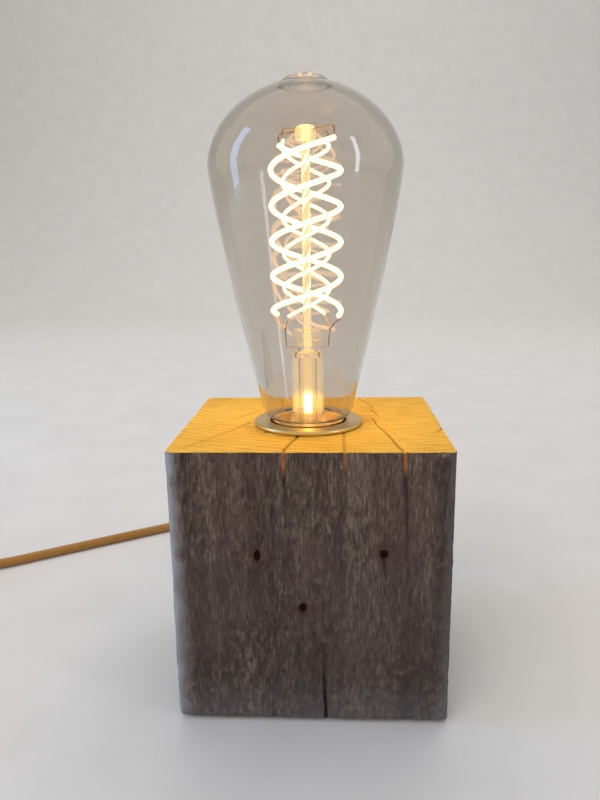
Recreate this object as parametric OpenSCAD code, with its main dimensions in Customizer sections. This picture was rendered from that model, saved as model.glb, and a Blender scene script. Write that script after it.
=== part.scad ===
// Bare bulb table lamp: a sawn block of old timber with a lampholder sunk in its top, a clear
// pear-shaped lamp with spiral filaments, and a textile cord with a rocker switch and a flat plug.
// The origin is at table level under the middle of the block. The front of the block faces -Y.

/* [Timber block] */
// Width of the block, left to right
block_w = 90; // [80:1:120]
// Depth of the block, front to back
block_d = 80; // [76:1:110]
// Height of the timber
block_h = 92.5; // [90:0.5:120]
// Radius worn on the upright edges
block_edge_r = 2.5; // [1:0.25:5]
// Thickness of the felt under the block
felt_t = 1.5; // [1:0.25:3]
// Distance of the felt's edge inside the block's faces
felt_inset = 2; // [1:0.5:5]
// Place of the lampholder's axis, left to right
socket_x = -1.5; // [-5:0.5:5]
// Place of the lampholder's axis, front to back
socket_y = -3; // [-5:0.5:3]
// Bore that the lampholder stands in
bore_d = 34.6; // [34.4:0.2:37]
// Depth of that bore
bore_depth = 60; // [58:1:75]
// Width of the well that lets the cord down through the timber
well_w = 12; // [9:0.5:15]
// Width of the groove that leads the cord out at the back
groove_w = 6.5; // [5.5:0.25:9]
// Height of that groove
groove_h = 6.5; // [6:0.25:9]
// Width of the drying checks where they open
check_w = 1.2; // [0.6:0.1:2]

/* [Lampholder] */
// Outside diameter of the trim ring
ring_d = 38.2; // [37.5:0.1:46]
// Thickness of the trim ring's flange
ring_t = 1.6; // [1:0.1:3]
// Hole in the trim ring
ring_hole_d = 27; // [26.75:0.25:30]
// Length of the ring's sleeve down the bore
sleeve_h = 12; // [8:0.5:16]
// Wall of that sleeve
sleeve_wall = 1; // [0.8:0.1:1.2]
// Height of the porcelain base under the holder
base_h = 14; // [13.5:0.5:15]
// Thickness of the steel bracket
bracket_t = 1.2; // [0.8:0.1:2]
// Width of the steel bracket
bracket_w = 11; // [10.5:0.5:14]
// Outside diameter of the threaded tube that holds the base on the bracket
nipple_d = 10; // [9:0.25:10]
// Thickness of its lock nut
nut_t = 3; // [2.5:0.25:3.5]
// Outside diameter of the cord grip
grip_d = 13; // [12:0.25:13]
// Height of the lampholder's centre contact spring
leaf_h = 3; // [2.5:0.25:3.5]

/* [Lamp cap and thread] */
// Mean diameter of the cap's round thread
thread_d = 25.1; // [24.8:0.05:25.2]
// Pitch of the thread
thread_pitch = 3.629; // [3.4:0.001:3.9]
// Height of the thread's wave from its middle line
thread_wave = 0.55; // [0.4:0.05:0.6]
// Gap between the cap's thread and the holder's thread
thread_gap = 0.35; // [0.3:0.01:0.4]
// Thickness of the rolled brass sheet
sheet_t = 0.35; // [0.3:0.01:0.4]
// Depth of the cap's end contact below the top of the block
cap_drop = 27; // [26:0.25:28]
// Diameter of the end contact
contact_d = 9.2; // [7:0.2:10]

/* [Lamp glass] */
// Largest diameter of the glass
glass_d = 64.5; // [56:0.5:70]
// Diameter of the glass just above the cap
neck_d = 32.6; // [31:0.2:38]
// Height of the widest place above the top of the block
wide_h = 86.6; // [78:0.1:96]
// Height of the dome above the widest place
dome_h = 27.1; // [24:0.1:32]
// Thickness of the glass
glass_t = 0.7; // [0.5:0.05:1]
// Diameter of the sealed tip on top
nub_d = 16.4; // [10:0.2:18]
// Height of the sealed tip
nub_h = 2.4; // [2:0.1:5]
// Outside diameter of the glass stem
stem_d = 11; // [9.6:0.1:11.4]
// Height of the stem's flat top above the block
stem_h = 26; // [24:0.5:28]
// Diameter of the glass rod in the middle
rod_d = 2.7; // [2:0.1:3.2]

/* [Filaments] */
// Radius of the two outer spirals
coil_r_outer = 11.7; // [11.2:0.1:13]
// Radius of the two inner spirals
coil_r_inner = 7.8; // [7:0.1:9.6]
// Thickness of an outer filament
filament_d = 1.6; // [1.4:0.1:2]
// Thickness of an inner filament
filament_thin_d = 1; // [0.8:0.1:1.6]
// Rise of a spiral in one turn
coil_pitch = 23; // [20:0.5:26]
// Height of the spirals' lower ends above the block
coil_low_h = 39; // [38:0.5:41]
// Height of the spirals' upper ends above the block
coil_top_h = 94.5; // [92:0.5:96]

/* [Cord, switch and plug] */
// Diameter of the textile cord
cord_d = 4.6; // [4:0.1:5]
// Length of the switch housing
switch_l = 62; // [58:1:64]
// Width of the switch housing
switch_w = 25; // [22:0.5:27]
// Height of the switch housing
switch_h = 17; // [15:0.5:20]
// Wall of the switch housing
switch_wall = 1.8; // [1.4:0.1:2.2]
// Length of the rocker
rocker_l = 22; // [18:0.5:24]
// Width of the rocker
rocker_w = 11; // [9:0.5:12]
// Angle that the rocker tips each way
rocker_tilt = 8; // [4:0.5:9]
// Length of the plug's body
plug_l = 36; // [32:0.5:40]
// Width of the plug's body
plug_w = 35; // [32:0.5:37]
// Thickness of the plug's body
plug_t = 13.7; // [12:0.1:15]
// Length of the pins outside the plug
pin_l = 19; // [17:0.5:20]
// Diameter of the pins
pin_d = 4; // [3.8:0.05:4.4]
// Distance between the pins
pin_gap = 18.6; // [17:0.1:20]

/* [Hidden] */

// Clearances: a snug fit, a loose one, and the amount by which a cut runs past a face
snug = 0.1;
loose = 0.3;
past = 1;
$fn = 48;

// Heights, from the table up
top_z = felt_t + block_h;
bore_z = top_z - bore_depth;
contact_z = top_z - cap_drop;
pocket_z = contact_z - leaf_h;
floor_t = 4;
body_z = pocket_z - floor_t;
base_z = body_z - base_h;
plate_z = base_z - bracket_t;
nut_z = plate_z - nut_t;

// Lampholder, across
bore_r = bore_d / 2;
sleeve_r = bore_r - snug;
body_r = sleeve_r - sleeve_wall - loose;
body_top_z = top_z - 2.5;
shell_r = thread_d / 2 + thread_gap;
shell_out_r = shell_r + thread_wave + sheet_t;
shell_plain_r = shell_r + thread_wave;
body_bore_r = shell_out_r + loose;
pocket_r = 9.6;
shell_low_z = top_z - 22.5;
strip_t = 0.5;
ledge_z = shell_low_z - strip_t;
leaf_w = 5;
nipple_r = nipple_d / 2;
nipple_wall = 1.6;
nipple_low = 4.8;
nipple_in_base = 8;
chamber_r = nipple_r - 0.6;

// Terminals in the base
terminal_x = 9.5;
terminal_l = 6;
terminal_w = 7;
terminal_z = base_z + 6;
terminal_top_z = body_z - loose;
wire_z = terminal_z + 3;
core_d = 2.1;
core_hole_d = core_d + 0.3;
m3_r = 1.45;
m3_head_r = 2.6;
m3_head_h = 1.8;
post_x = 8;
post_r = 1.2;
strip_x = 10.4;
strip_w = 4;
holder_screw_y = 11.6;
holder_screw_in = 6;

// Bracket and its wood screws
leg_x = bore_r - 2.4;
foot_l = 8.4;
wood_screw_x = leg_x - 4.6;
wood_screw_r = 1.6;
wood_screw_head_r = 2.7;
wood_screw_head_h = 1.6;
wood_screw_l = 14;
nut_af = 14;

// Cord grip
grip_z = nut_z - 5.2;
grip_h = 5;
grip_bore_r = cord_d / 2 + snug;
grip_screw_r = 1.2;
inner_bend_r = 18;
groove_z = felt_t + groove_h;
exit_z = felt_t + loose + cord_d / 2;
exit_point = [socket_x, block_d / 2, exit_z];

// Lamp cap, across and in height above the top of the block
cap_r = thread_d / 2;
skirt_r = cap_r + 0.4;
skirt_in_r = skirt_r - sheet_t;
skirt_top_h = 1.8;
throat_h = 2.2;
curl_h = 6;
cap_low_h = -22.4;
cap_low_r = 9.4;
glass_rim_h = -4;
glass_low_r = skirt_in_r - 1.1;
flare_t = 0.8;
cap_inner_r = cap_r - sheet_t - thread_wave;
thread_sides = 32;
thread_levels = 5;

// Cap and shell outlines against height above the block: mean radius and wave
cap_mean = [[cap_low_h, cap_low_r], [cap_low_h + 1.6, cap_r - 0.6], [-19.8, cap_r], [-5, cap_r],
            [-3.6, skirt_r], [skirt_top_h, skirt_r]];
cap_wave = [[cap_low_h + 1.6, 0], [-19.8, thread_wave], [-5, thread_wave], [-3.6, 0]];
shell_low_h = shell_low_z - top_z;
shell_top_h = -5.5;
shell_mean = [[shell_low_h, shell_plain_r], [-21, shell_plain_r], [-20, shell_r],
              [-6.8, shell_r], [shell_top_h, shell_plain_r + 0.1]];
shell_wave = [[-21, 0], [-20, thread_wave], [-6.8, thread_wave], [shell_top_h, 0]];

// Stem, rod and beads, as heights above the block
stem_wall = 0.8;
stem_r = stem_d / 2;
flare_top_h = 7;
exhaust_r = 1.5;
exhaust_low_h = -8;
rod_r = rod_d / 2;
low_bead_r = 5.2;
low_bead_low_h = stem_h + 2.2;
low_bead_high_h = low_bead_low_h + 5.5;
top_bead_r = 3.4;
top_bead_low_h = coil_top_h + 1;
top_bead_high_h = top_bead_low_h + 4.6;
wire_d = 0.5;
nub_sunk = 1.5;
lead_x = 2.9;

// Spirals: the first outer one is at the far left at this height
coil_left_h = 62.9;
inner_turn = 62;

// Driver board inside the cap
board_t = 1.2;
board_top_h = -9.5;
board_low_h = -20;
board_low_w = 20;
board_w = 2 * (cap_inner_r - 0.5);
can_r = 3.1;
can_h = 8.5;

// Cord on the table: the points it follows after it leaves the block
run_points = [exit_point,
              [-1.5, 46, 3.6], [-1.5, 54, 2.6], [-1.5, 68, 2.3], [-2, 84, 2.3], [-5, 99, 2.3],
              [-13, 114, 2.3], [-26, 124.5, 2.3], [-43, 130.2, 2.3], [-60, 129.8, 2.3],
              [-76, 122.9, 2.3], [-90.5, 114, 2.3], [-109, 102.2, 2.3], [-127.4, 90.3, 2.3],
              [-143.8, 79.6, 2.3], [-159, 69.8, 2.5], [-170, 63, 4.4], [-176, 59.4, 6.2]];
link_points = [[-238.5, 23.1, 6.2], [-245, 19.3, 5], [-251.4, 15.5, 4.2], [-258.4, 10.1, 3.7],
               [-263.8, 3.1, 3.4], [-267.2, -5.1, 3.3]];

// Switch on the cord
switch_x = -207;
switch_y = 41.4;
switch_turn = 30.2;
parting_z = 6.5;
switch_end_w = 12;
switch_hole_r = cord_d / 2 + loose;
cord_in_switch = 4;
sheath_end = switch_l / 2 - cord_in_switch;
switch_in = [switch_x + sheath_end * cos(switch_turn), switch_y + sheath_end * sin(switch_turn),
             parting_z];
switch_out = [switch_x - sheath_end * cos(switch_turn), switch_y - sheath_end * sin(switch_turn),
              parting_z];
rocker_gap = 0.9;
rocker_pivot_z = switch_h - 3;
rocker_pin_r = 0.9;
rocker_pin_l = 1.6;
rocker_hub_h = 4.5;
rocker_rise = 3.4;
switch_screw_x = 21.5;
contact_x = 6;

// Coil that the rest of the cord is put away in: turns, layers and spacing
coil_x = -236;
coil_y = -20;
cord_coil_r = 32.4;
turn_step = cord_d + 0.5;
layer_step = cord_d + 0.45;
layers = 4;
layer_angle = 742.5;
tail_l = 40;
tie_t = 0.8;
coil_z = tie_t + 0.2 + cord_d / 2;
coil_top_z = coil_z + (layers - 1) * layer_step + cord_d / 2;
coil_start = [coil_x - cord_coil_r, coil_y, coil_z];
tie_angle = 75;
tie_w = 9;

// Plug lying on the table in front of the block's left
plug_z = plug_t / 2;
relief_l = 12;
plug_x = coil_x + tail_l + 2 * cord_d;
plug_y = coil_y - cord_coil_r;
sleeve_l = 10;
pin_in = 8;

// ---- helpers -------------------------------------------------------------------------------

function unit(v) = v / norm(v);

// One smooth span between b and c, with a before and d after
function span(a, b, c, d, t) =
    0.5 * (2 * b + (c - a) * t + (2 * a - 5 * b + 4 * c - d) * t * t
           + (3 * b - a - 3 * c + d) * t * t * t);

// A smooth curve through the points, with a number of steps to each span
function smooth_path(p, steps) =
    let (last = len(p) - 1)
    [for (i = [0 : last - 1], j = [0 : steps - 1])
         span(p[max(i - 1, 0)], p[i], p[i + 1], p[min(i + 2, last)], j / steps),
     p[last]];

function on_table(path) = [for (p = path) [p.x, p.y, max(p.z, cord_d / 2)]];

function path_length(p) = len(p) < 2 ? 0 : [for (i = 1, s = norm(p[1] - p[0]); i < len(p);
    i = i + 1, s = i < len(p) ? s + norm(p[i] - p[i - 1]) : s) s][len(p) - 2];

function directions(p) =
    [for (i = [0 : len(p) - 1]) unit(p[min(i + 1, len(p) - 1)] - p[max(i - 1, 0)])];

function carried(u, t) = unit(u - (u * t) * t);

// A side vector for each point, carried along the path without twisting
function side_vectors(t, first) =
    [for (i = 0, u = carried(first, t[0]); i < len(t);
          i = i + 1, u = i < len(t) ? carried(u, t[i]) : u) u];

// Sweeps a round tube of n flat sides along the path
module tube(path, d, n, first = [0, 0, 1]) {
    t = directions(path);
    u = side_vectors(t, first);
    last = len(path) - 1;
    points = [for (i = [0 : last], k = [0 : n - 1])
                  path[i] + d / 2 * (cos(360 * k / n) * u[i] + sin(360 * k / n) * cross(t[i], u[i]))];
    walls = [for (i = [0 : last - 1], k = [0 : n - 1])
                 let (a = i * n + k, b = i * n + (k + 1) % n) each [[a, a + n, b], [b, a + n, b + n]]];
    start = [for (k = [1 : n - 2]) [0, k, k + 1]];
    end = [for (k = [1 : n - 2]) [last * n, last * n + k + 1, last * n + k]];
    polyhedron(points, concat(start, walls, end), convexity = 10);
}

// A ring of points at height h above the block, waved by the screw thread
function thread_ring(h, mean, wave) =
    [for (k = [0 : thread_sides - 1])
         let (a = 360 * k / thread_sides, r = mean + wave * cos(360 * h / thread_pitch - a))
         [r * cos(a), r * sin(a), h]];

// Rolled sheet with a round thread: outside up, inside down, closed into one skin
module threaded_sheet(mean, wave, offset) {
    low = mean[0][0];
    high = mean[len(mean) - 1][0];
    n = ceil((high - low) / thread_pitch * thread_levels);
    heights = [for (i = [0 : n]) low + (high - low) * i / n];
    rings = concat(
        [for (h = heights) thread_ring(h, lookup(h, mean) + offset, lookup(h, wave))],
        [for (i = [n : -1 : 0])
             thread_ring(heights[i], lookup(heights[i], mean) + offset - sheet_t,
                         lookup(heights[i], wave))]);
    points = [for (ring = rings) each ring];
    count = len(rings);
    faces = [for (i = [0 : count - 1], k = [0 : thread_sides - 1])
                 let (a = i * thread_sides + k, b = i * thread_sides + (k + 1) % thread_sides,
                      c = ((i + 1) % count) * thread_sides + k,
                      d = ((i + 1) % count) * thread_sides + (k + 1) % thread_sides)
                 each [[a, c, b], [b, c, d]]];
    polyhedron(points, faces, convexity = 10);
}

// A flat outline of a rectangle with round corners, centred
module round_rect(w, d, r) {
    square([w - 2 * r, d], center = true);
    square([w, d - 2 * r], center = true);
    for (x = [-1, 1], y = [-1, 1])
        translate([x * (w / 2 - r), y * (d / 2 - r)]) circle(r);
}

// A tube on +Z from z0 to z1
module sleeve(r_out, r_in, z0, z1) {
    translate([0, 0, z0])
        difference() {
            cylinder(r = r_out, h = z1 - z0);
            translate([0, 0, -past]) cylinder(r = r_in, h = z1 - z0 + 2 * past);
        }
}

module rod(r, z0, z1) {
    translate([0, 0, z0]) cylinder(r = r, h = z1 - z0);
}

module at_socket() {
    translate([socket_x, socket_y, 0]) children();
}

// The lamp's own place: on the holder's axis, with heights counted from the top of the block
module at_lamp() {
    translate([socket_x, socket_y, top_z]) children();
}

// A screw on +Z with its head at the bottom, from z0 up
module head_down_screw(z0, length) {
    rod(m3_head_r, z0, z0 + m3_head_h);
    rod(m3_r, z0 + m3_head_h, z0 + m3_head_h + length);
}

// ---- timber block and felt -----------------------------------------------------------------

// A drying check: a thin upright wedge that opens from a to b
module drying_check(a, b, w, z0, z1) {
    side = [a.y - b.y, b.x - a.x] / norm(b - a);
    translate([0, 0, z0])
        linear_extrude(z1 - z0)
            polygon([a - side * 0.1, b - side * w / 2, b + side * w / 2, a + side * 0.1]);
}

module timber_block() {
    front = -block_d / 2;
    ring_r = ring_d / 2;
    color("#5b4a42")
    difference() {
        translate([0, 0, felt_t])
            linear_extrude(block_h) round_rect(block_w, block_d, block_edge_r);
        at_socket() {
            rod(bore_r, bore_z, top_z + past);
            for (s = [-1, 1])
                translate([s * wood_screw_x, 0, 0])
                    rod(wood_screw_r + snug / 2, bore_z - wood_screw_l - 1, bore_z + past);
        }
        // well for the cord, and the groove that leads it to the back
        translate([socket_x, socket_y, felt_t - past])
            linear_extrude(bore_z - felt_t + 2 * past) {
                translate([-well_w / 2, 0]) square([well_w, inner_bend_r]);
                circle(well_w / 2);
                translate([0, inner_bend_r]) circle(well_w / 2);
            }
        translate([socket_x - groove_w / 2, socket_y, felt_t - past])
            cube([groove_w, block_d / 2 - socket_y + past, groove_h + past]);
        // checks in the end grain, from the ring to the front and to the left
        drying_check([socket_x - 5, socket_y - ring_r], [-8.5, front - 0.5], check_w,
                     top_z - 9, top_z + past);
        drying_check([socket_x + 9, socket_y - ring_r + 2], [10.4, front - 0.5], check_w * 0.6,
                     top_z - 6, top_z + past);
        drying_check([socket_x + ring_r + 4, socket_y - 6], [28.7, front - 0.5], check_w,
                     top_z - 22, top_z + past);
        // check in the foot of the front face
        drying_check([4.5, front + 7], [4.5, front - 0.5], check_w * 1.5, felt_t - past, felt_t + 22);
    }
}

module felt_base() {
    color("#2b2826")
    linear_extrude(felt_t)
        round_rect(block_w - 2 * felt_inset, block_d - 2 * felt_inset, block_edge_r);
}

// ---- lampholder ----------------------------------------------------------------------------

module trim_ring() {
    rim = ring_t / 2;
    r_in = ring_hole_d / 2;
    color("#cfc4ae")
    at_lamp() {
        rotate_extrude($fn = 96) {
            translate([r_in, 0]) square([ring_d / 2 - r_in - rim, ring_t]);
            translate([ring_d / 2 - rim, rim]) circle(rim, $fn = 24);
        }
        sleeve(sleeve_r, sleeve_r - sleeve_wall, -sleeve_h, 0.4);
    }
}

module holder_body() {
    color("#efece4")
    at_socket()
    difference() {
        rod(body_r, body_z, body_top_z);
        rod(body_bore_r, ledge_z, body_top_z + past);
        rod(pocket_r, pocket_z, ledge_z + past);
        // way through the floor for the line post and for the neutral strip
        translate([-post_x, 0, 0]) rod(post_r + 0.2, body_z - past, pocket_z + past);
        translate([strip_x - 0.15, -strip_w / 2 - 0.15, body_z - past])
            cube([strip_t + 0.3, strip_w + 0.3, ledge_z - body_z + 2 * past]);
        for (y = [-1, 1])
            translate([0, y * holder_screw_y, 0])
                rod(m3_r + snug / 2, body_z - past, body_z + holder_screw_in + loose);
    }
}

module screw_shell() {
    color("#c9a24a")
    at_lamp() threaded_sheet(shell_mean, shell_wave, sheet_t);
}

module neutral_strip() {
    color("#c9a24a")
    at_socket() {
        translate([strip_x, -strip_w / 2, ledge_z])
            cube([body_bore_r - 0.2 - strip_x - 0.4, strip_w, strip_t]);
        translate([strip_x, -strip_w / 2, terminal_top_z])
            cube([strip_t, strip_w, ledge_z - terminal_top_z + strip_t]);
    }
}

// A bent bronze spring: a foot on the floor of the pocket, and a tongue up to the lamp's contact
module centre_contact() {
    t = strip_t;
    foot = -post_x - 1.2;
    color("#c08a4a")
    at_socket()
    translate([0, leaf_w / 2, pocket_z])
        rotate([90, 0, 0])
            linear_extrude(leaf_w)
                polygon([[foot, 0], [-4, 0], [-1.5, leaf_h - t], [3, leaf_h - t], [5, leaf_h - 2],
                         [5.6, leaf_h - 1.8], [3.3, leaf_h], [-1.9, leaf_h], [-4.4, t], [foot, t]]);
}

module holder_base() {
    color("#efece4")
    at_socket()
    difference() {
        rod(body_r, base_z, body_z);
        rod(nipple_r + snug / 2, base_z - past, base_z + nipple_in_base);
        rod(chamber_r, base_z + nipple_in_base - past, body_z + past);
        for (s = [-1, 1]) {
            translate([s * terminal_x - terminal_l / 2 - snug, -terminal_w / 2 - snug, terminal_z - snug])
                cube([terminal_l + 2 * snug, terminal_w + 2 * snug, body_z - terminal_z + past]);
            translate([s * terminal_x, 0, 0]) rod(m3_head_r + loose, base_z - past, terminal_z);
            translate([s > 0 ? 3 : -7, -1.8, wire_z - 1.6])
                cube([4, 3.6, body_z - wire_z + 1.6 + past]);
        }
        for (y = [-1, 1])
            translate([0, y * holder_screw_y, 0]) {
                rod(m3_r + loose, base_z - past, body_z + past);
                rod(m3_head_r + loose, base_z - past, base_z + m3_head_h + loose);
            }
    }
}

// A brass block with a hole for its core and a threaded hole for its screw
module terminal(s) {
    difference() {
        translate([s * terminal_x - terminal_l / 2, -terminal_w / 2, terminal_z])
            cube([terminal_l, terminal_w, terminal_top_z - terminal_z]);
        translate([s * terminal_x, 0, wire_z])
            rotate([0, 90, 0])
                cylinder(d = core_hole_d, h = terminal_l + 2 * past, center = true);
        translate([s * terminal_x, 0, 0]) rod(m3_r + snug / 2, terminal_z - past, wire_z);
    }
}

module line_terminal() {
    color("#c9a24a")
    at_socket() {
        terminal(-1);
        translate([-post_x, 0, 0]) rod(post_r, terminal_top_z - snug, pocket_z);
    }
}

module neutral_terminal() {
    color("#c9a24a") at_socket() terminal(1);
}

module terminal_screws() {
    color("#b9bcc0")
    at_socket()
    for (s = [-1, 1])
        translate([s * terminal_x, 0, 0])
            head_down_screw(terminal_z - m3_head_h, wire_z - core_d / 2 - terminal_z - snug);
}

module holder_screws() {
    color("#b9bcc0")
    at_socket()
    for (y = [-1, 1])
        translate([0, y * holder_screw_y, 0])
            head_down_screw(base_z, base_h + holder_screw_in - m3_head_h);
}

// A steel bridge: a plate under the base, two legs down the bore and two feet turned in
module mounting_bracket() {
    t = bracket_t;
    color("#a9adb1")
    at_socket()
    difference() {
        union() {
            translate([-leg_x, -bracket_w / 2, plate_z]) cube([2 * leg_x, bracket_w, t]);
            for (s = [-1, 1]) {
                translate([s > 0 ? leg_x - t : -leg_x, -bracket_w / 2, bore_z])
                    cube([t, bracket_w, plate_z + t - bore_z]);
                translate([s > 0 ? leg_x - foot_l : -leg_x, -bracket_w / 2, bore_z])
                    cube([foot_l, bracket_w, t]);
            }
        }
        rod(nipple_r + snug / 2, plate_z - past, plate_z + t + past);
        for (s = [-1, 1])
            translate([s * wood_screw_x, 0, 0])
                rod(wood_screw_r + snug, bore_z - past, bore_z + t + past);
    }
}

module bracket_screws() {
    color("#b9bcc0")
    at_socket()
    for (s = [-1, 1])
        translate([s * wood_screw_x, 0, 0]) {
            rod(wood_screw_head_r, bore_z + bracket_t, bore_z + bracket_t + wood_screw_head_h);
            rod(wood_screw_r, bore_z - wood_screw_l + 3, bore_z + bracket_t);
            translate([0, 0, bore_z - wood_screw_l]) cylinder(r1 = 0.3, r2 = wood_screw_r, h = 3);
        }
}

module threaded_nipple() {
    color("#b9bcc0")
    at_socket() sleeve(nipple_r, nipple_r - nipple_wall, plate_z - nipple_low, base_z + nipple_in_base);
}

module lock_nut() {
    color("#b9bcc0")
    at_socket()
    difference() {
        translate([0, 0, nut_z]) cylinder(d = nut_af / cos(30), h = nut_t, $fn = 6);
        rod(nipple_r + snug / 2, nut_z - past, nut_z + nut_t + past);
    }
}

module cord_grip() {
    color("#e8e6df")
    at_socket()
    difference() {
        rod(grip_d / 2, grip_z, grip_z + grip_h);
        rod(grip_bore_r, grip_z - past, grip_z + grip_h + past);
        rod(nipple_r + snug / 2, plate_z - nipple_low - snug, grip_z + grip_h + past);
        translate([0, 0, grip_z + 1.7])
            rotate([-90, 0, 0]) cylinder(r = grip_screw_r + snug / 2, h = grip_d);
    }
}

module grip_screw() {
    color("#b9bcc0")
    at_socket()
    translate([0, 0, grip_z + 1.7])
        rotate([-90, 0, 0]) {
            rod(grip_screw_r, grip_bore_r, grip_d / 2);
            rod(grip_screw_r * 1.4, grip_d / 2, grip_d / 2 + 1.2);
        }
}

// A single core from the sheath's end, up in a bow and down into its terminal
module core(s) {
    low_z = base_z + nipple_in_base;
    bow = [[1.25, 0], [1.25, 1.2], [1.75, 2.7], [3.05, 3.4], [4.3, 2.85], [5.2, 1.9], [6.1, 1.15]];
    route = concat([for (b = bow) [s * b.x, 0, low_z + b.y]],
                   [[s * 7.2, 0, wire_z], [s * terminal_x, 0, wire_z]]);
    tube(smooth_path(route, 2), core_d, 8, [0, 1, 0]);
}

module core_line() {
    color("#7a4a2a") at_socket() core(-1);
}

module core_neutral() {
    color("#3f6fb0") at_socket() core(1);
}

// Sheathed cord from the base, down the well and out along the groove
module cord_in_block() {
    high_z = base_z + nipple_in_base - snug;
    bend_z = exit_z + inner_bend_r;
    drop = [for (z = [high_z, high_z - 8, (high_z + bend_z) / 2, bend_z + 3]) [0, 0, z]];
    turn = [for (a = [0 : 15 : 90])
                [0, inner_bend_r * (1 - cos(a)), bend_z - inner_bend_r * sin(a)]];
    end = [exit_point.x - socket_x, exit_point.y - socket_y, exit_z];
    color("#a06a2c")
    at_socket() tube(concat(drop, turn, [end]), cord_d, 8, [1, 0, 0]);
}

// ---- lamp: glass, cap and what stands inside ------------------------------------------------

// Radius of the glass below its widest place, a little fuller than a straight cone
function flank_r(h, low_h) =
    let (u = (h - low_h) / (wide_h - low_h))
    neck_d / 2 + (glass_d - neck_d) / 2 * (1 - pow(1 - u, 1.17));

// The dome: close to an ellipse, with slightly flatter shoulders
dome_power = 1.92;
function dome_r(a, inset) = (glass_d / 2 - inset) * pow(cos(a), 2 / dome_power);
function dome_z(a, inset) = wide_h + (dome_h - inset) * pow(sin(a), 2 / dome_power);

// The glass outline from the neck to the dome, drawn in by the inset
function glass_outline(inset) =
    let (throat_r = skirt_in_r - 0.6, low_h = throat_h + curl_h)
    concat(
        [[glass_low_r - inset, glass_rim_h], [glass_low_r - inset, throat_h - 1]],
        [for (a = [0 : 15 : 90])
             [throat_r + (neck_d / 2 - throat_r - inset) * sin(a),
              low_h - (curl_h - inset) * cos(a)]],
        [for (i = [1 : 12])
             let (h = low_h + (wide_h - low_h) * i / 12) [flank_r(h, low_h) - inset, h]],
        [for (a = [8 : 8 : 80]) [dome_r(a, inset), dome_z(a, inset)]]);

module glass_envelope() {
    outside = glass_outline(0);
    inside = glass_outline(glass_t);
    nub_low_h = wide_h + dome_h - nub_sunk;
    color("#dfe6ea", 0.35)
    at_lamp()
    rotate_extrude($fn = 96) {
        difference() {
            polygon(concat(outside, [[0, wide_h + dome_h], [0, glass_rim_h]]));
            translate([0, -past])
                polygon(concat([[0, glass_rim_h], [glass_low_r - glass_t, glass_rim_h]],
                               [for (p = inside) p + [0, past]], [[0, wide_h + dome_h - glass_t + past]]));
        }
        intersection() {
            translate([0, nub_low_h]) scale([nub_d / 2, nub_h + nub_sunk]) circle(1, $fn = 40);
            translate([0, nub_low_h]) square([nub_d, nub_d]);
        }
    }
}

module bulb_cap() {
    color("#c9a85a")
    at_lamp() threaded_sheet(cap_mean, cap_wave, 0);
}

module cap_cement() {
    color("#d9cdb4")
    at_lamp() sleeve(skirt_in_r - snug, glass_low_r + snug / 2, -3.4, skirt_top_h - 0.4);
}

// Black glass in the end of the cap
module cap_insulator() {
    r = cap_low_r - sheet_t - snug;
    color("#1c1a1a")
    at_lamp()
    rotate_extrude($fn = 64)
        polygon([[0.8, cap_low_h + 0.7], [r, cap_low_h + 0.7], [r, cap_low_h - 0.05],
                 [cap_low_r, cap_low_h - 0.05], [contact_d / 2 + 0.4, -cap_drop + 1.3],
                 [0.8, -cap_drop + 1.3]]);
}

module cap_contact() {
    r = contact_d / 2;
    color("#b8b8b4")
    at_lamp()
    rotate_extrude($fn = 64)
        polygon([[0, -cap_drop + 1.25], [r, -cap_drop + 1.25], [r, -cap_drop + 0.9],
                 [r * 0.75, -cap_drop + 0.2], [r * 0.5, -cap_drop], [0, -cap_drop]]);
}

// The stem: a flare sealed to the neck's rim, drawn up into a tube with a flat top
module stem_tube() {
    out_r = glass_low_r - snug;
    low = glass_rim_h - flare_t;
    curve = function (inset) [for (a = [0 : 15 : 90])
        [out_r - 0.8 - (out_r - 0.8 - stem_r + inset) * sin(a),
         flare_top_h - (flare_top_h - low - (inset > 0 ? 0 : flare_t)) * cos(a)]];
    color("#e4eaec", 0.5)
    at_lamp()
    difference() {
        rotate_extrude($fn = 64)
            polygon(concat([[out_r, low], [out_r, glass_rim_h]], curve(0),
                           [[stem_r, stem_h - 0.6], [stem_r - 0.6, stem_h], [0, stem_h],
                            [0, stem_h - 2], [stem_r - stem_wall, stem_h - 2]],
                           [for (i = [6 : -1 : 0]) curve(stem_wall)[i]]));
        for (s = [-1, 1])
            translate([s * lead_x, 0, 0]) rod(wire_d / 2 + snug / 2, stem_h - 2 - past, stem_h + past);
    }
}

module exhaust_tube() {
    color("#e4eaec", 0.5)
    at_lamp() sleeve(exhaust_r, exhaust_r - 0.5, exhaust_low_h, stem_h - 2);
}

module centre_rod() {
    color("#e4eaec", 0.5)
    at_lamp() rod(rod_r, stem_h, top_bead_high_h - 0.8);
}

module lower_bead() {
    color("#eef1f2", 0.7)
    at_lamp()
    difference() {
        rotate_extrude($fn = 48)
            polygon([[0, low_bead_low_h], [low_bead_r - 1.2, low_bead_low_h],
                     [low_bead_r - 0.35, low_bead_low_h + 0.35], [low_bead_r, low_bead_low_h + 1.2],
                     [low_bead_r, low_bead_high_h - 1.2], [low_bead_r - 0.35, low_bead_high_h - 0.35],
                     [low_bead_r - 1.2, low_bead_high_h], [0, low_bead_high_h]]);
        rod(rod_r + snug / 2, low_bead_low_h - past, low_bead_high_h + past);
    }
}

module top_bead() {
    hole = rod_r + snug / 2;
    color("#eef1f2", 0.7)
    at_lamp()
    difference() {
        rotate_extrude($fn = 48)
            polygon([[0, top_bead_low_h], [top_bead_r - 1, top_bead_low_h],
                     [top_bead_r, top_bead_low_h + 1], [top_bead_r, top_bead_high_h - 1.2],
                     [top_bead_r - 1.2, top_bead_high_h], [0, top_bead_high_h]]);
        rod(hole, top_bead_low_h - past, top_bead_high_h - 0.8);
    }
}

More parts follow.
